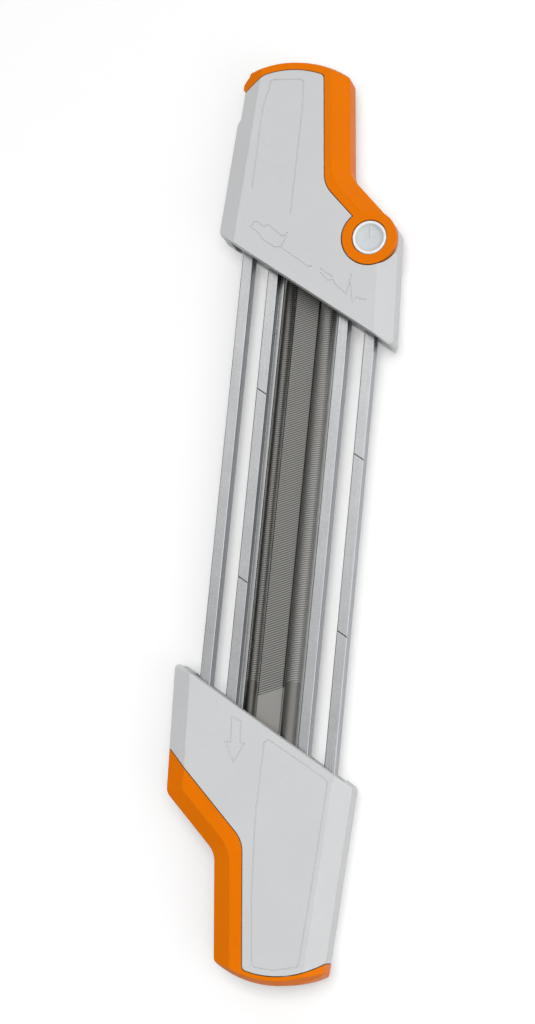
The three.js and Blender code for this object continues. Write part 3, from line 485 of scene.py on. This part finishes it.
finishes = {
    "grey_plastic": plastic(
        "grey_plastic", linear(206, 207, 208), wear_and_highlight_colour=linear(236, 236, 236), amount=0.035,
        rough=(0.42, 0.58)),
    "orange_plastic": plastic(
        "orange_plastic", linear(232, 118, 0), wear_and_highlight_colour=linear(238, 140, 44), amount=0.05,
        rough=(0.42, 0.56), specular=0.1, bounce=linear(176, 172, 168)),
    "hub_plastic": plastic(
        "hub_plastic", linear(205, 210, 212), wear_and_highlight_colour=linear(232, 234, 236), amount=0.02,
        rough=(0.25, 0.4), painted_highlight=linear(244, 244, 244)),
    # The guide blocks inside the handles are dark grey, which paints the shade inside the handles'
    # mouths.
    "inner_plastic": plastic(
        "inner_plastic", linear(88, 90, 92), wear_and_highlight_colour=linear(120, 122, 124), amount=0.05,
        rough=(0.5, 0.65)),
}
print("plastics:", ", ".join(finishes))

# %% Steels
# Deeper painted shade for the inner rails' walls that face the files.
FILE_WALL_SHADE = linear(46, 47, 48)
# Painted shade: the rails' walls, which look sideways, are darker than their tops.
RAIL_WALL_SHADE = linear(126, 132, 138)
STEEL_EDGE = 0.25
STEEL_PATCHINESS = 0.3
STEEL_MOTTLE = 90
LINES_ACROSS = 2600
LINES_ALONG = 30
STEEL_BUMP = 0.25
STEEL_RELIEF = 0.02


def steel(name, colour, wear_and_highlight_colour, rough, side=None, crest=None, file_shade_side=0, amount=0.06):
    """Steel with fine lines. Side is the colour of faces that look sideways, painted shade on the
    rails' walls. The crest colour is a painted highlight on the tops of file teeth, where the mesh
    says how high each point is, with painted shade left in the gullets. A value of 1 or -1 picks the
    side along X that gets deeper painted shade where it faces the files."""
    material, tree, shader = start_material(name, metallic=1)
    mottle = place_group(
        tree, mottled_colour, Colour=colour, Amount=amount, Scale=STEEL_MOTTLE)
    edges = place_group(
        tree, worn_edges, Radius=STEEL_EDGE * mm, Patchiness=STEEL_PATCHINESS)
    lines = place_group(tree, drawn_lines, Across=LINES_ACROSS, Along=LINES_ALONG)
    colour_out = mottle.outputs["Colour"]
    # Faces that look sideways get painted shade.
    if side:
        surface = tree.nodes.new("ShaderNodeNewGeometry")
        parts = tree.nodes.new("ShaderNodeSeparateXYZ")
        tree.links.new(surface.outputs["True Normal"], parts.inputs[0])
        facing_up = maths(tree, "ABSOLUTE", parts.outputs["Z"])
        colour_out = mix_colours(tree, facing_up, side, colour_out)
        # The wall that faces the files gets deeper painted shade.
        if file_shade_side:
            facing_files = maths(tree, "MULTIPLY", parts.outputs["X"], file_shade_side, clamp=True)
            colour_out = mix_colours(tree, facing_files, colour_out, FILE_WALL_SHADE)
    # Tooth crests get a painted highlight, and the gullets keep painted shade.
    if crest:
        height = place_node(tree, "ShaderNodeAttribute", attribute_name="crest")
        colour_out = mix_colours(tree, height.outputs["Fac"], colour_out, crest)
    # Edges take the paler colour: partly wear, partly a painted highlight.
    colour_out = mix_colours(tree, edges.outputs["Edge"], colour_out, wear_and_highlight_colour)
    tree.links.new(colour_out, shader.inputs["Base Color"])
    roughness = roughness_between(tree, lines.outputs["Line"], rough)
    tree.links.new(roughness, shader.inputs["Roughness"])
    add_bump(tree, shader, lines.outputs["Line"], edges.outputs["Normal"], STEEL_BUMP,
             STEEL_RELIEF)
    return material


# Each inner rail gets deeper painted shade on the wall that faces the files.
for name, file_shade_side in (("rail_steel", 0), ("rail_steel_left", 1), ("rail_steel_right", -1)):
    finishes[name] = steel(
        name, linear(224, 226, 228), wear_and_highlight_colour=linear(242, 243, 244), rough=(0.2, 0.34),
        side=RAIL_WALL_SHADE, file_shade_side=file_shade_side, amount=0.12)
finishes["tooth_steel"] = steel(
    "tooth_steel", linear(96, 95, 92), wear_and_highlight_colour=linear(150, 149, 146), rough=(0.38, 0.5),
    crest=linear(196, 195, 190))
finishes["fastener_steel"] = steel(
    "fastener_steel", linear(176, 178, 180), wear_and_highlight_colour=linear(214, 215, 216), rough=(0.28, 0.42))
print("finishes so far:", ", ".join(finishes))

# %% [markdown]
# ## Dressing the CAD pieces
# A CAD piece whose shape is right stays as it is and only gets a better finish. Each piece has a
# plain name, so one loop dresses them all: the first word of the list that stands in the name
# decides. The inner rails come before the other rails, because the wall of each that faces the
# files gets deeper painted shade.

# %% Dress the pieces
PIECE_FINISH = {
    "block": "inner_plastic",
    "screw": "fastener_steel",
    "pin": "fastener_steel",
    "cap": "hub_plastic",
    "rail_inner_left": "rail_steel_left",
    "rail_inner_right": "rail_steel_right",
    "rail": "rail_steel",
    "file": "tooth_steel",
    "flap": "orange_plastic",
    "band": "orange_plastic",
    "shell": "grey_plastic",
}

for name, piece in nodes.items():
    finish_name = next(look for word, look in PIECE_FINISH.items() if word in name)
    piece.data.materials.clear()
    piece.data.materials.append(finishes[finish_name])
    print(name, "gets", finish_name)

# %% [markdown]
# ## Round file teeth
# A round file is a rod with small teeth that wind round it like several threads side by side. The
# rod could be displaced by a texture, but then the teeth would blur between the points of the mesh.
# Here a grid is rolled up so that its rows run along the teeth: the row number alone says whether a
# point lies on a crest or in a gullet. Geometry Nodes roll it, with the sizes as named inputs.

# %% Geometry Nodes helpers
def geometry_tree(name, inputs):
    """An empty Geometry Nodes tree with named inputs. Returns the tree and its two end nodes."""
    tree = bpy.data.node_groups.new(name, "GeometryNodeTree")
    tree.interface.new_socket("Geometry", in_out="INPUT", socket_type="NodeSocketGeometry")
    for title, kind in inputs:
        tree.interface.new_socket(title, in_out="INPUT", socket_type=kind)
    tree.interface.new_socket("Geometry", in_out="OUTPUT", socket_type="NodeSocketGeometry")
    start = tree.nodes.new("NodeGroupInput")
    finish = tree.nodes.new("NodeGroupOutput")
    return tree, start.outputs, finish


def grow(name, tree, values, base=None):
    """Runs a tree on a new object and returns the result as a plain object with a plain mesh."""
    mesh = base or bpy.data.meshes.new(name)
    piece = bpy.data.objects.new(name, mesh)
    bpy.context.scene.collection.objects.link(piece)
    modifier = piece.modifiers.new("grow", "NODES")
    modifier.node_group = tree
    for item in tree.interface.items_tree:
        if item.in_out == "INPUT" and item.name in values:
            modifier[item.identifier] = values[item.name]
    bpy.context.view_layer.update()
    evaluated = piece.evaluated_get(bpy.context.evaluated_depsgraph_get())
    grown = bpy.data.meshes.new_from_object(evaluated)
    piece.modifiers.remove(modifier)
    piece.data = grown
    grown.name = name
    return piece


def face_outwards(mesh):
    """Turns every face of a closed mesh to look outwards."""
    work = bmesh.new()
    work.from_mesh(mesh)
    bmesh.ops.recalc_face_normals(work, faces=work.faces)
    work.to_mesh(mesh)
    work.free()


def end_tree(tree, shape, material, result):
    """Ends a tree. The export drops instances, so they are made real before they are dressed."""
    plain = tree.nodes.new("GeometryNodeRealizeInstances")
    tree.links.new(shape, plain.inputs[0])
    dress = tree.nodes.new("GeometryNodeSetMaterial")
    tree.links.new(plain.outputs[0], dress.inputs["Geometry"])
    tree.links.new(material, dress.inputs["Material"])
    tree.links.new(dress.outputs[0], result.inputs[0])


print("geometry helpers ready")

# %% The tree that rolls a toothed rod
ROWS_PER_TOOTH = 4
HALF_GRID = 0.5  # the grid is one unit each way, with its middle at zero
rod_tree, given, result = geometry_tree("toothed_rod", [
    ("Tooth Radius", FLOAT), ("Shank Radius", FLOAT), ("Tooth Pitch", FLOAT),
    ("Tooth Depth", FLOAT), ("Threads", FLOAT), ("Butt", FLOAT), ("Tip", FLOAT),
    ("Teeth Start", FLOAT), ("Chamfer", FLOAT), ("Place", VECTOR),
    ("Columns", "NodeSocketInt"), ("Rows", "NodeSocketInt"), ("Finish", "NodeSocketMaterial"),
])
tree = rod_tree
grid = place_node(tree, "GeometryNodeMeshGrid", Size_X=1, Size_Y=1)
tree.links.new(given["Columns"], grid.inputs["Vertices X"])
tree.links.new(given["Rows"], grid.inputs["Vertices Y"])
parts = tree.nodes.new("ShaderNodeSeparateXYZ")
tree.links.new(tree.nodes.new("GeometryNodeInputPosition").outputs[0], parts.inputs[0])
around = maths(tree, "ADD", parts.outputs["X"], HALF_GRID)
last_row = maths(tree, "SUBTRACT", given["Rows"], 1)
share = maths(tree, "ADD", parts.outputs["Y"], HALF_GRID)
row = maths(tree, "ROUND", maths(tree, "MULTIPLY", share, last_row))
step = maths(tree, "DIVIDE", given["Tooth Pitch"], ROWS_PER_TOOTH)
lead = maths(tree, "MULTIPLY", given["Threads"], given["Tooth Pitch"])
climb = maths(tree, "MULTIPLY", lead, maths(tree, "SUBTRACT", around, 1))
along = maths(tree, "MULTIPLY", maths(tree, "SUBTRACT", row, 1), step)
along = maths(tree, "ADD", maths(tree, "ADD", along, climb), given["Butt"])
print("nodes that place each row along the rod:", len(tree.nodes))

# %% How far each row stands out
# Each tooth falls from its crest to its gullet in equal steps, one for each row.
# The crest value paints a highlight on the tooth tops and leaves painted shade in the gullets. The
# plain shank gets a set share of it.
ROUND_SHANK_HIGHLIGHT = 0.3  # the plain shank is this far from the gullet's colour to the crest's
HALF_ROW = 0.5  # keeps the phase of a row clear of the jump between two teeth
phase = maths(tree, "DIVIDE", maths(tree, "ADD", row, HALF_ROW), ROWS_PER_TOOTH)
phase = maths(tree, "FRACT", phase)
steps_down = maths(tree, "FLOOR", maths(tree, "MULTIPLY", phase, ROWS_PER_TOOTH))
fall = maths(tree, "MULTIPLY", steps_down, 1 / (ROWS_PER_TOOTH - 1))
toothed = maths(tree, "GREATER_THAN", along, given["Teeth Start"])
crest = maths(tree, "MULTIPLY", maths(tree, "SUBTRACT", 1, fall), toothed)
bare = maths(tree, "MULTIPLY", maths(tree, "SUBTRACT", 1, toothed), ROUND_SHANK_HIGHLIGHT)
crest = maths(tree, "ADD", crest, bare)
rise = maths(tree, "SUBTRACT", given["Tooth Radius"], given["Shank Radius"])
rise = maths(tree, "SUBTRACT", rise, maths(tree, "MULTIPLY", fall, given["Tooth Depth"]))
radius = maths(tree, "ADD", given["Shank Radius"], maths(tree, "MULTIPLY", rise, toothed))
print("nodes so far:", len(tree.nodes))

# %% Chamfered and closed ends
# Rows past an end are drawn back to it. Those more than one step past it shrink to the axis, and so
# close the end.
OVERLAP = 1.001  # a little over one step, so that rounding drops no row
kept = maths(tree, "MINIMUM", maths(tree, "MAXIMUM", along, given["Butt"]), given["Tip"])
for end in ("Butt", "Tip"):
    base = given["Shank Radius"] if end == "Butt" else given["Tooth Radius"]
    from_end = maths(tree, "ABSOLUTE", maths(tree, "SUBTRACT", kept, given[end]))
    slim = maths(tree, "ADD", maths(tree, "SUBTRACT", base, given["Chamfer"]), from_end)
    radius = maths(tree, "MINIMUM", radius, slim)
past = maths(tree, "ABSOLUTE", maths(tree, "SUBTRACT", along, kept))
inside = maths(tree, "LESS_THAN", past, maths(tree, "MULTIPLY", step, OVERLAP))
radius = maths(tree, "MULTIPLY", radius, inside)
print("nodes so far:", len(tree.nodes))

# %% Roll the grid up
WELD_DISTANCE = 0.002
angle = maths(tree, "MULTIPLY", around, 2 * math.pi)
spot = tree.nodes.new("ShaderNodeCombineXYZ")
tree.links.new(maths(tree, "MULTIPLY", radius, maths(tree, "SINE", angle)), spot.inputs["X"])
tree.links.new(kept, spot.inputs["Y"])
tree.links.new(maths(tree, "MULTIPLY", radius, maths(tree, "COSINE", angle)), spot.inputs["Z"])
moved = place_node(tree, "ShaderNodeVectorMath", operation="ADD")
tree.links.new(spot.outputs[0], moved.inputs[0])
tree.links.new(given["Place"], moved.inputs[1])
mark = place_node(
    tree, "GeometryNodeStoreNamedAttribute", data_type="FLOAT", domain="POINT", Name="crest")
tree.links.new(grid.outputs["Mesh"], mark.inputs["Geometry"])
value_socket = next(i for i in mark.inputs if i.name == "Value" and i.type == "VALUE")
tree.links.new(crest, value_socket)
roll = tree.nodes.new("GeometryNodeSetPosition")
tree.links.new(mark.outputs[0], roll.inputs["Geometry"])
tree.links.new(moved.outputs[0], roll.inputs["Position"])
weld = place_node(tree, "GeometryNodeMergeByDistance", Distance=WELD_DISTANCE * mm)
tree.links.new(roll.outputs[0], weld.inputs["Geometry"])
end_tree(tree, weld.outputs[0], given["Finish"], result)
print("rod tree nodes:", len(tree.nodes))

# %% Two round files
FILE_BUTT = -98
FILE_TIP = 102
ROUND_RADIUS = 2.6
ROUND_SHANK = 2.5
ROUND_PITCH = 0.76
ROUND_DEPTH = 0.16
ROUND_THREADS = 5
ROUND_TEETH_START = -58.2
ROUND_CHAMFER = 0.5
ROUND_COLUMNS = 41
SPARE_ROWS = 6  # rows past the two ends, which close them
ROUND_FILES = {"round_file_left": "left_file", "round_file_right": "right_file"}
wound_length = FILE_TIP - FILE_BUTT + ROUND_THREADS * ROUND_PITCH
round_rows = math.ceil(ROWS_PER_TOOTH * wound_length / ROUND_PITCH) + SPARE_ROWS
for node_name, body in ROUND_FILES.items():
    x, _, z = middle_of(node_name)
    piece = grow("toothed_" + node_name, rod_tree, {
        "Tooth Radius": ROUND_RADIUS * mm,
        "Shank Radius": ROUND_SHANK * mm,
        "Tooth Pitch": ROUND_PITCH * mm,
        "Tooth Depth": ROUND_DEPTH * mm,
        "Threads": float(ROUND_THREADS),
        "Butt": FILE_BUTT * mm,
        "Tip": FILE_TIP * mm,
        "Teeth Start": ROUND_TEETH_START * mm,
        "Chamfer": ROUND_CHAMFER * mm,
        "Place": (x * mm, 0.0, z * mm),
        "Columns": ROUND_COLUMNS,
        "Rows": round_rows,
        "Finish": finishes["tooth_steel"],
    })
    face_outwards(piece.data)
    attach(piece, body)
    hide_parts(node_name)
    print(piece.name, "faces:", len(piece.data.polygons))

# %% [markdown]
# ## Flat file teeth
# The flat file carries straight teeth that run slantwise over both of its faces. One tooth is a
# small ridge with four long edges. Geometry Nodes set a copy of it at each step along the file,
# once for the front and once, turned over, for the back, and join them with the plain core.

# %% The core
FLAT_WIDTH = 8.8
FLAT_HEIGHT = 4.3
FLAT_MIDDLE = middle_of("flat_file").z
FLAT_PITCH = 0.81
FLAT_SLANT = 21.7
TOOTH_HEIGHT = 0.12
CORE_EDGE = 0.35
FLAT_TEETH_START = -61.1
# The plain shank of the flat file gets this share of the painted highlight.
FLAT_SHANK_HIGHLIGHT = 0.95
BARE_GAP = 0.5  # from the middle of the first tooth back to the plain shank
BARE_FADE = 0.05  # half the width over which the shank's colour changes
LONG_EDGE = 100  # only the edges that run along the file are longer than this

core_mesh = bpy.data.meshes.new("flat_file_core")
work = bmesh.new()
bmesh.ops.create_cube(work, size=1)
core_size = (FLAT_WIDTH * mm, (FILE_TIP - FILE_BUTT) * mm, (FLAT_HEIGHT - 2 * TOOTH_HEIGHT) * mm)
bmesh.ops.scale(work, vec=core_size, verts=work.verts)
long_edges = [edge for edge in work.edges if edge.calc_length() > LONG_EDGE * mm]
bmesh.ops.bevel(work, geom=long_edges, offset=CORE_EDGE * mm, segments=3, profile=0.5,
                affect="EDGES")
core_place = (0, (FILE_TIP + FILE_BUTT) / 2 * mm, FLAT_MIDDLE * mm)
bmesh.ops.translate(work, vec=core_place, verts=work.verts)
slant = math.radians(FLAT_SLANT)
slanted = Vector((-math.sin(slant), math.cos(slant), 0))
bare_end = FLAT_TEETH_START - BARE_GAP
for y in (bare_end - BARE_FADE, bare_end + BARE_FADE):
    bmesh.ops.bisect_plane(work, geom=work.verts[:] + work.edges[:] + work.faces[:],
                           plane_co=(0, y * mm, 0), plane_no=slanted)
bare_edge = slanted.dot(Vector((0, bare_end * mm, 0)))
bare_share = [FLAT_SHANK_HIGHLIGHT if slanted.dot(v.co) < bare_edge else 0 for v in work.verts]
work.to_mesh(core_mesh)
work.free()
core_crest = core_mesh.attributes.new("crest", "FLOAT", "POINT")
for point, value in zip(core_crest.data, bare_share):
    point.value = value
print("core points:", len(core_mesh.vertices))

# %% One tooth
TOOTH_FOOT = 0.7
TOOTH_CREST = 0.26
TOOTH_SINK = 0.03
CREST_LEAN = 0.04  # the front of the crest leans back by this much
tooth_mesh = bpy.data.meshes.new("one_tooth")
half_tooth = (FLAT_WIDTH / 2 - CORE_EDGE) * mm
drift = half_tooth * math.tan(slant)
half_foot = TOOTH_FOOT / 2
ridge = [
    (-half_foot, -TOOTH_SINK, 0), (half_foot, -TOOTH_SINK, 0),
    (-half_foot + TOOTH_CREST, TOOTH_HEIGHT, 1), (-half_foot + CREST_LEAN, TOOTH_HEIGHT, 1),
]
corners = [(side * half_tooth, side * drift + y * mm, z * mm)
           for side in (-1, 1) for y, z, _ in ridge]
tooth_mesh.from_pydata(corners, [], [
    (0, 1, 2, 3), (7, 6, 5, 4), (0, 4, 5, 1), (1, 5, 6, 2), (2, 6, 7, 3), (3, 7, 4, 0),
])
# The tooth's top edges get the painted highlight, and its foot gets painted shade.
crest_value = tooth_mesh.attributes.new("crest", "FLOAT", "POINT")
for index, (_, _, value) in enumerate(ridge * 2):
    crest_value.data[index].value = value
face_outwards(tooth_mesh)
tooth = bpy.data.objects.new("one_tooth", tooth_mesh)
print("one tooth has", len(tooth_mesh.polygons), "faces")

# %% The tree that sets the teeth
row_tree, given, result = geometry_tree("tooth_rows", [
    ("Tooth", "NodeSocketObject"), ("Tooth Pitch", FLOAT), ("Count", "NodeSocketInt"),
    ("Start", FLOAT), ("Middle", FLOAT), ("Rise", FLOAT), ("Finish", "NodeSocketMaterial"),
])
tree = row_tree
shape = place_node(tree, "GeometryNodeObjectInfo")
tree.links.new(given["Tooth"], shape.inputs["Object"])
together = tree.nodes.new("GeometryNodeJoinGeometry")
tree.links.new(given["Geometry"], together.inputs[0])
for half_turn, sign in ((0, 1), (math.pi, -1)):
    level = maths(tree, "ADD", given["Middle"], maths(tree, "MULTIPLY", given["Rise"], sign))
    first = tree.nodes.new("ShaderNodeCombineXYZ")
    tree.links.new(given["Start"], first.inputs["Y"])
    tree.links.new(level, first.inputs["Z"])
    stride = tree.nodes.new("ShaderNodeCombineXYZ")
    tree.links.new(given["Tooth Pitch"], stride.inputs["Y"])
    line = place_node(tree, "GeometryNodeMeshLine", mode="OFFSET")
    tree.links.new(given["Count"], line.inputs["Count"])
    tree.links.new(first.outputs[0], line.inputs["Start Location"])
    tree.links.new(stride.outputs[0], line.inputs["Offset"])
    copies = tree.nodes.new("GeometryNodeInstanceOnPoints")
    tree.links.new(line.outputs[0], copies.inputs["Points"])
    tree.links.new(shape.outputs["Geometry"], copies.inputs["Instance"])
    copies.inputs["Rotation"].default_value = (0, half_turn, 0)
    tree.links.new(copies.outputs[0], together.inputs[0])
end_tree(tree, together.outputs[0], given["Finish"], result)
print("tooth row nodes:", len(tree.nodes))

# %% The flat file
TIP_ROOM = 2.5  # from the last tooth to the tip, since a slanted tooth reaches past its middle
flat_count = int((FILE_TIP - FLAT_TEETH_START - TIP_ROOM) / FLAT_PITCH)
flat_file = grow("toothed_flat_file", row_tree, {
    "Tooth": tooth,
    "Tooth Pitch": FLAT_PITCH * mm,
    "Count": flat_count,
    "Start": FLAT_TEETH_START * mm,
    "Middle": FLAT_MIDDLE * mm,
    "Rise": (FLAT_HEIGHT / 2 - TOOTH_HEIGHT) * mm,
    "Finish": finishes["tooth_steel"],
}, core_mesh)
bpy.data.objects.remove(tooth)
print("flat file teeth on each face:", flat_count)
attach(flat_file, "guide")
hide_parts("flat_file")

# %% [markdown]
# ## Hub caps
# The two caps in the flap's rings are turned parts: a rounded rim, a slope and a shallow bowl. A
# profile is spun about the pivot's axis. The bowl keeps the raised pointer line of the CAD cap.

# %% Spin and bar helpers
def spin(work, profile, middle, steps):
    """Adds the closed body that a profile of radii and heights sweeps about an upright axis."""
    rings = []
    for radius, height in profile:
        ring = []
        for step in range(steps if radius else 1):
            angle = 2 * math.pi * step / steps
            x = middle.x + radius * math.cos(angle)
            y = middle.y + radius * math.sin(angle)
            ring.append(work.verts.new(Vector((x, y, height)) * mm))
        rings.append(ring)
    for lower, upper in zip(rings, rings[1:]):
        for step in range(steps):
            after = (step + 1) % steps
            corners = [lower[step % len(lower)], lower[after % len(lower)],
                       upper[after % len(upper)], upper[step % len(upper)]]
            work.faces.new(list(dict.fromkeys(corners)))
    for face in work.faces:
        face.smooth = True


def raise_bar(work, outline, middle, levels):
    """Adds a closed body with straight sides between two levels."""
    low, high = [[work.verts.new(Vector((middle.x + x, middle.y + y, z)) * mm)
                  for x, y in outline] for z in levels]
    work.faces.new(low)
    work.faces.new(high)
    for step in range(len(outline)):
        after = (step + 1) % len(outline)
        work.faces.new([low[step], low[after], high[after], high[step]])


print("spin and bar helpers ready")

# %% Turned caps
CAP_STEPS = 96
CAP_PROFILE = [
    (0, 0), (5.9, 0), (5.9, 2.82), (5.84, 3.02), (5.68, 3.15), (5.45, 3.2), (5.2, 3.17),
    (5.0, 3.06), (4.82, 2.86), (4.5, 2.5), (4.1, 2.16), (3.6, 1.97), (2.8, 1.91), (0, 1.9),
]
POINTER = [(-0.28, 0.2), (0.28, 0.2), (0.28, 4.3), (-0.28, 4.3)]
POINTER_LOW = 1.85
POINTER_TOP = 2.14
# The rim of each cap gets a painted highlight beyond this radius and above this height.
HIGHLIGHT_RADIUS = 4.9
HIGHLIGHT_HEIGHT = 2.7

for node_name, outward in (("pivot_cap_front", 1), ("pivot_cap_back", -1)):
    low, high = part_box(node_name)
    foot = (low if outward > 0 else high).z / mm
    centre = middle_of(node_name)
    work = bmesh.new()
    profile = [(radius, foot + outward * height) for radius, height in CAP_PROFILE]
    spin(work, profile, centre, CAP_STEPS)
    raise_bar(work, POINTER, centre, [foot + outward * z for z in (POINTER_LOW, POINTER_TOP)])
    bmesh.ops.recalc_face_normals(work, faces=work.faces)
    mesh = bpy.data.meshes.new("turned_" + node_name)
    work.to_mesh(mesh)
    work.free()
    # Marks the rim for its painted highlight.
    rubbed = mesh.attributes.new("rubbed", "FLOAT", "POINT")
    for vertex, share in zip(mesh.vertices, rubbed.data):
        height = outward * (vertex.co.z / mm - foot)
        out = math.hypot(vertex.co.x / mm - centre.x, vertex.co.y / mm - centre.y)
        share.value = 1 if out > HIGHLIGHT_RADIUS and height > HIGHLIGHT_HEIGHT else 0
    mesh.materials.append(finishes["hub_plastic"])
    piece = bpy.data.objects.new(mesh.name, mesh)
    bpy.context.scene.collection.objects.link(piece)
    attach(piece, "guide")
    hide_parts(node_name)
    print(piece.name, "faces:", len(mesh.polygons))

# %% [markdown]
# ## Setting marks on the rails
# Each rail carries two fine slanted lines across one face, filled with dark paint. The CAD rails
# have the grooves, and a thin strip with bevelled edges is the paint in each of them.

# %% Paint strips
MARK_ANGLE = 30
MARK_WIDTH = 0.34
# For each rail: its middle from side to side, where its marks lie along it, and the face that
# bears them, 1 for the front and -1 for the back.
MARK_PLACES = {
    "rail_inner_left": (-13.2, (41.1, -24.5), 1),
    "rail_inner_right": (13.2, (41.1, -24.5), -1),
    "rail_outer_left": (-22.9, (20, -40.7), -1),
    "rail_outer_right": (22.9, (20, -40.7), 1),
}
MARK_HALF = 1.86
MARK_SINK = 0.2  # from the rail's face to the bottom of the paint
MARK_TOP = 0.03  # and to its top
MARK_EDGE = 0.03
RAIL_MIDDLE = middle_of("rail_outer_left").z
RAIL_HALF = 2.8
PAINT_COLOUR = linear(46, 42, 38)
PAINT_ROUGH = (0.45, 0.7)

material, tree, shader = start_material("mark_paint", metallic=0, specular=0.3)
mottle = place_group(tree, mottled_colour, Colour=PAINT_COLOUR, Amount=0.2, Scale=400)
tree.links.new(mottle.outputs["Colour"], shader.inputs["Base Color"])
roughness = roughness_between(tree, mottle.outputs["Stain"], PAINT_ROUGH)
tree.links.new(roughness, shader.inputs["Roughness"])
slope = math.tan(math.radians(MARK_ANGLE))

for node_name, (x, places, side) in MARK_PLACES.items():
    work = bmesh.new()
    face = RAIL_MIDDLE + side * RAIL_HALF
    for y in places:
        cube = bmesh.ops.create_cube(work, size=1)["verts"]
        for vert in cube:
            across = vert.co.x * 2 * MARK_HALF
            depth = MARK_SINK if vert.co.z < 0 else MARK_TOP
            vert.co = Vector((
                x + across,
                y - side * across * slope + vert.co.y * MARK_WIDTH,
                face - side * depth,
            )) * mm
    bmesh.ops.bevel(work, geom=work.edges[:], offset=MARK_EDGE * mm, segments=1, affect="EDGES")
    bmesh.ops.recalc_face_normals(work, faces=work.faces)
    mesh = bpy.data.meshes.new(node_name + "_marks")
    work.to_mesh(mesh)
    work.free()
    piece = bpy.data.objects.new(mesh.name, mesh)
    bpy.context.scene.collection.objects.link(piece)
    mesh.materials.append(material)
    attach(piece, "guide")
    print(piece.name, "faces:", len(mesh.polygons))
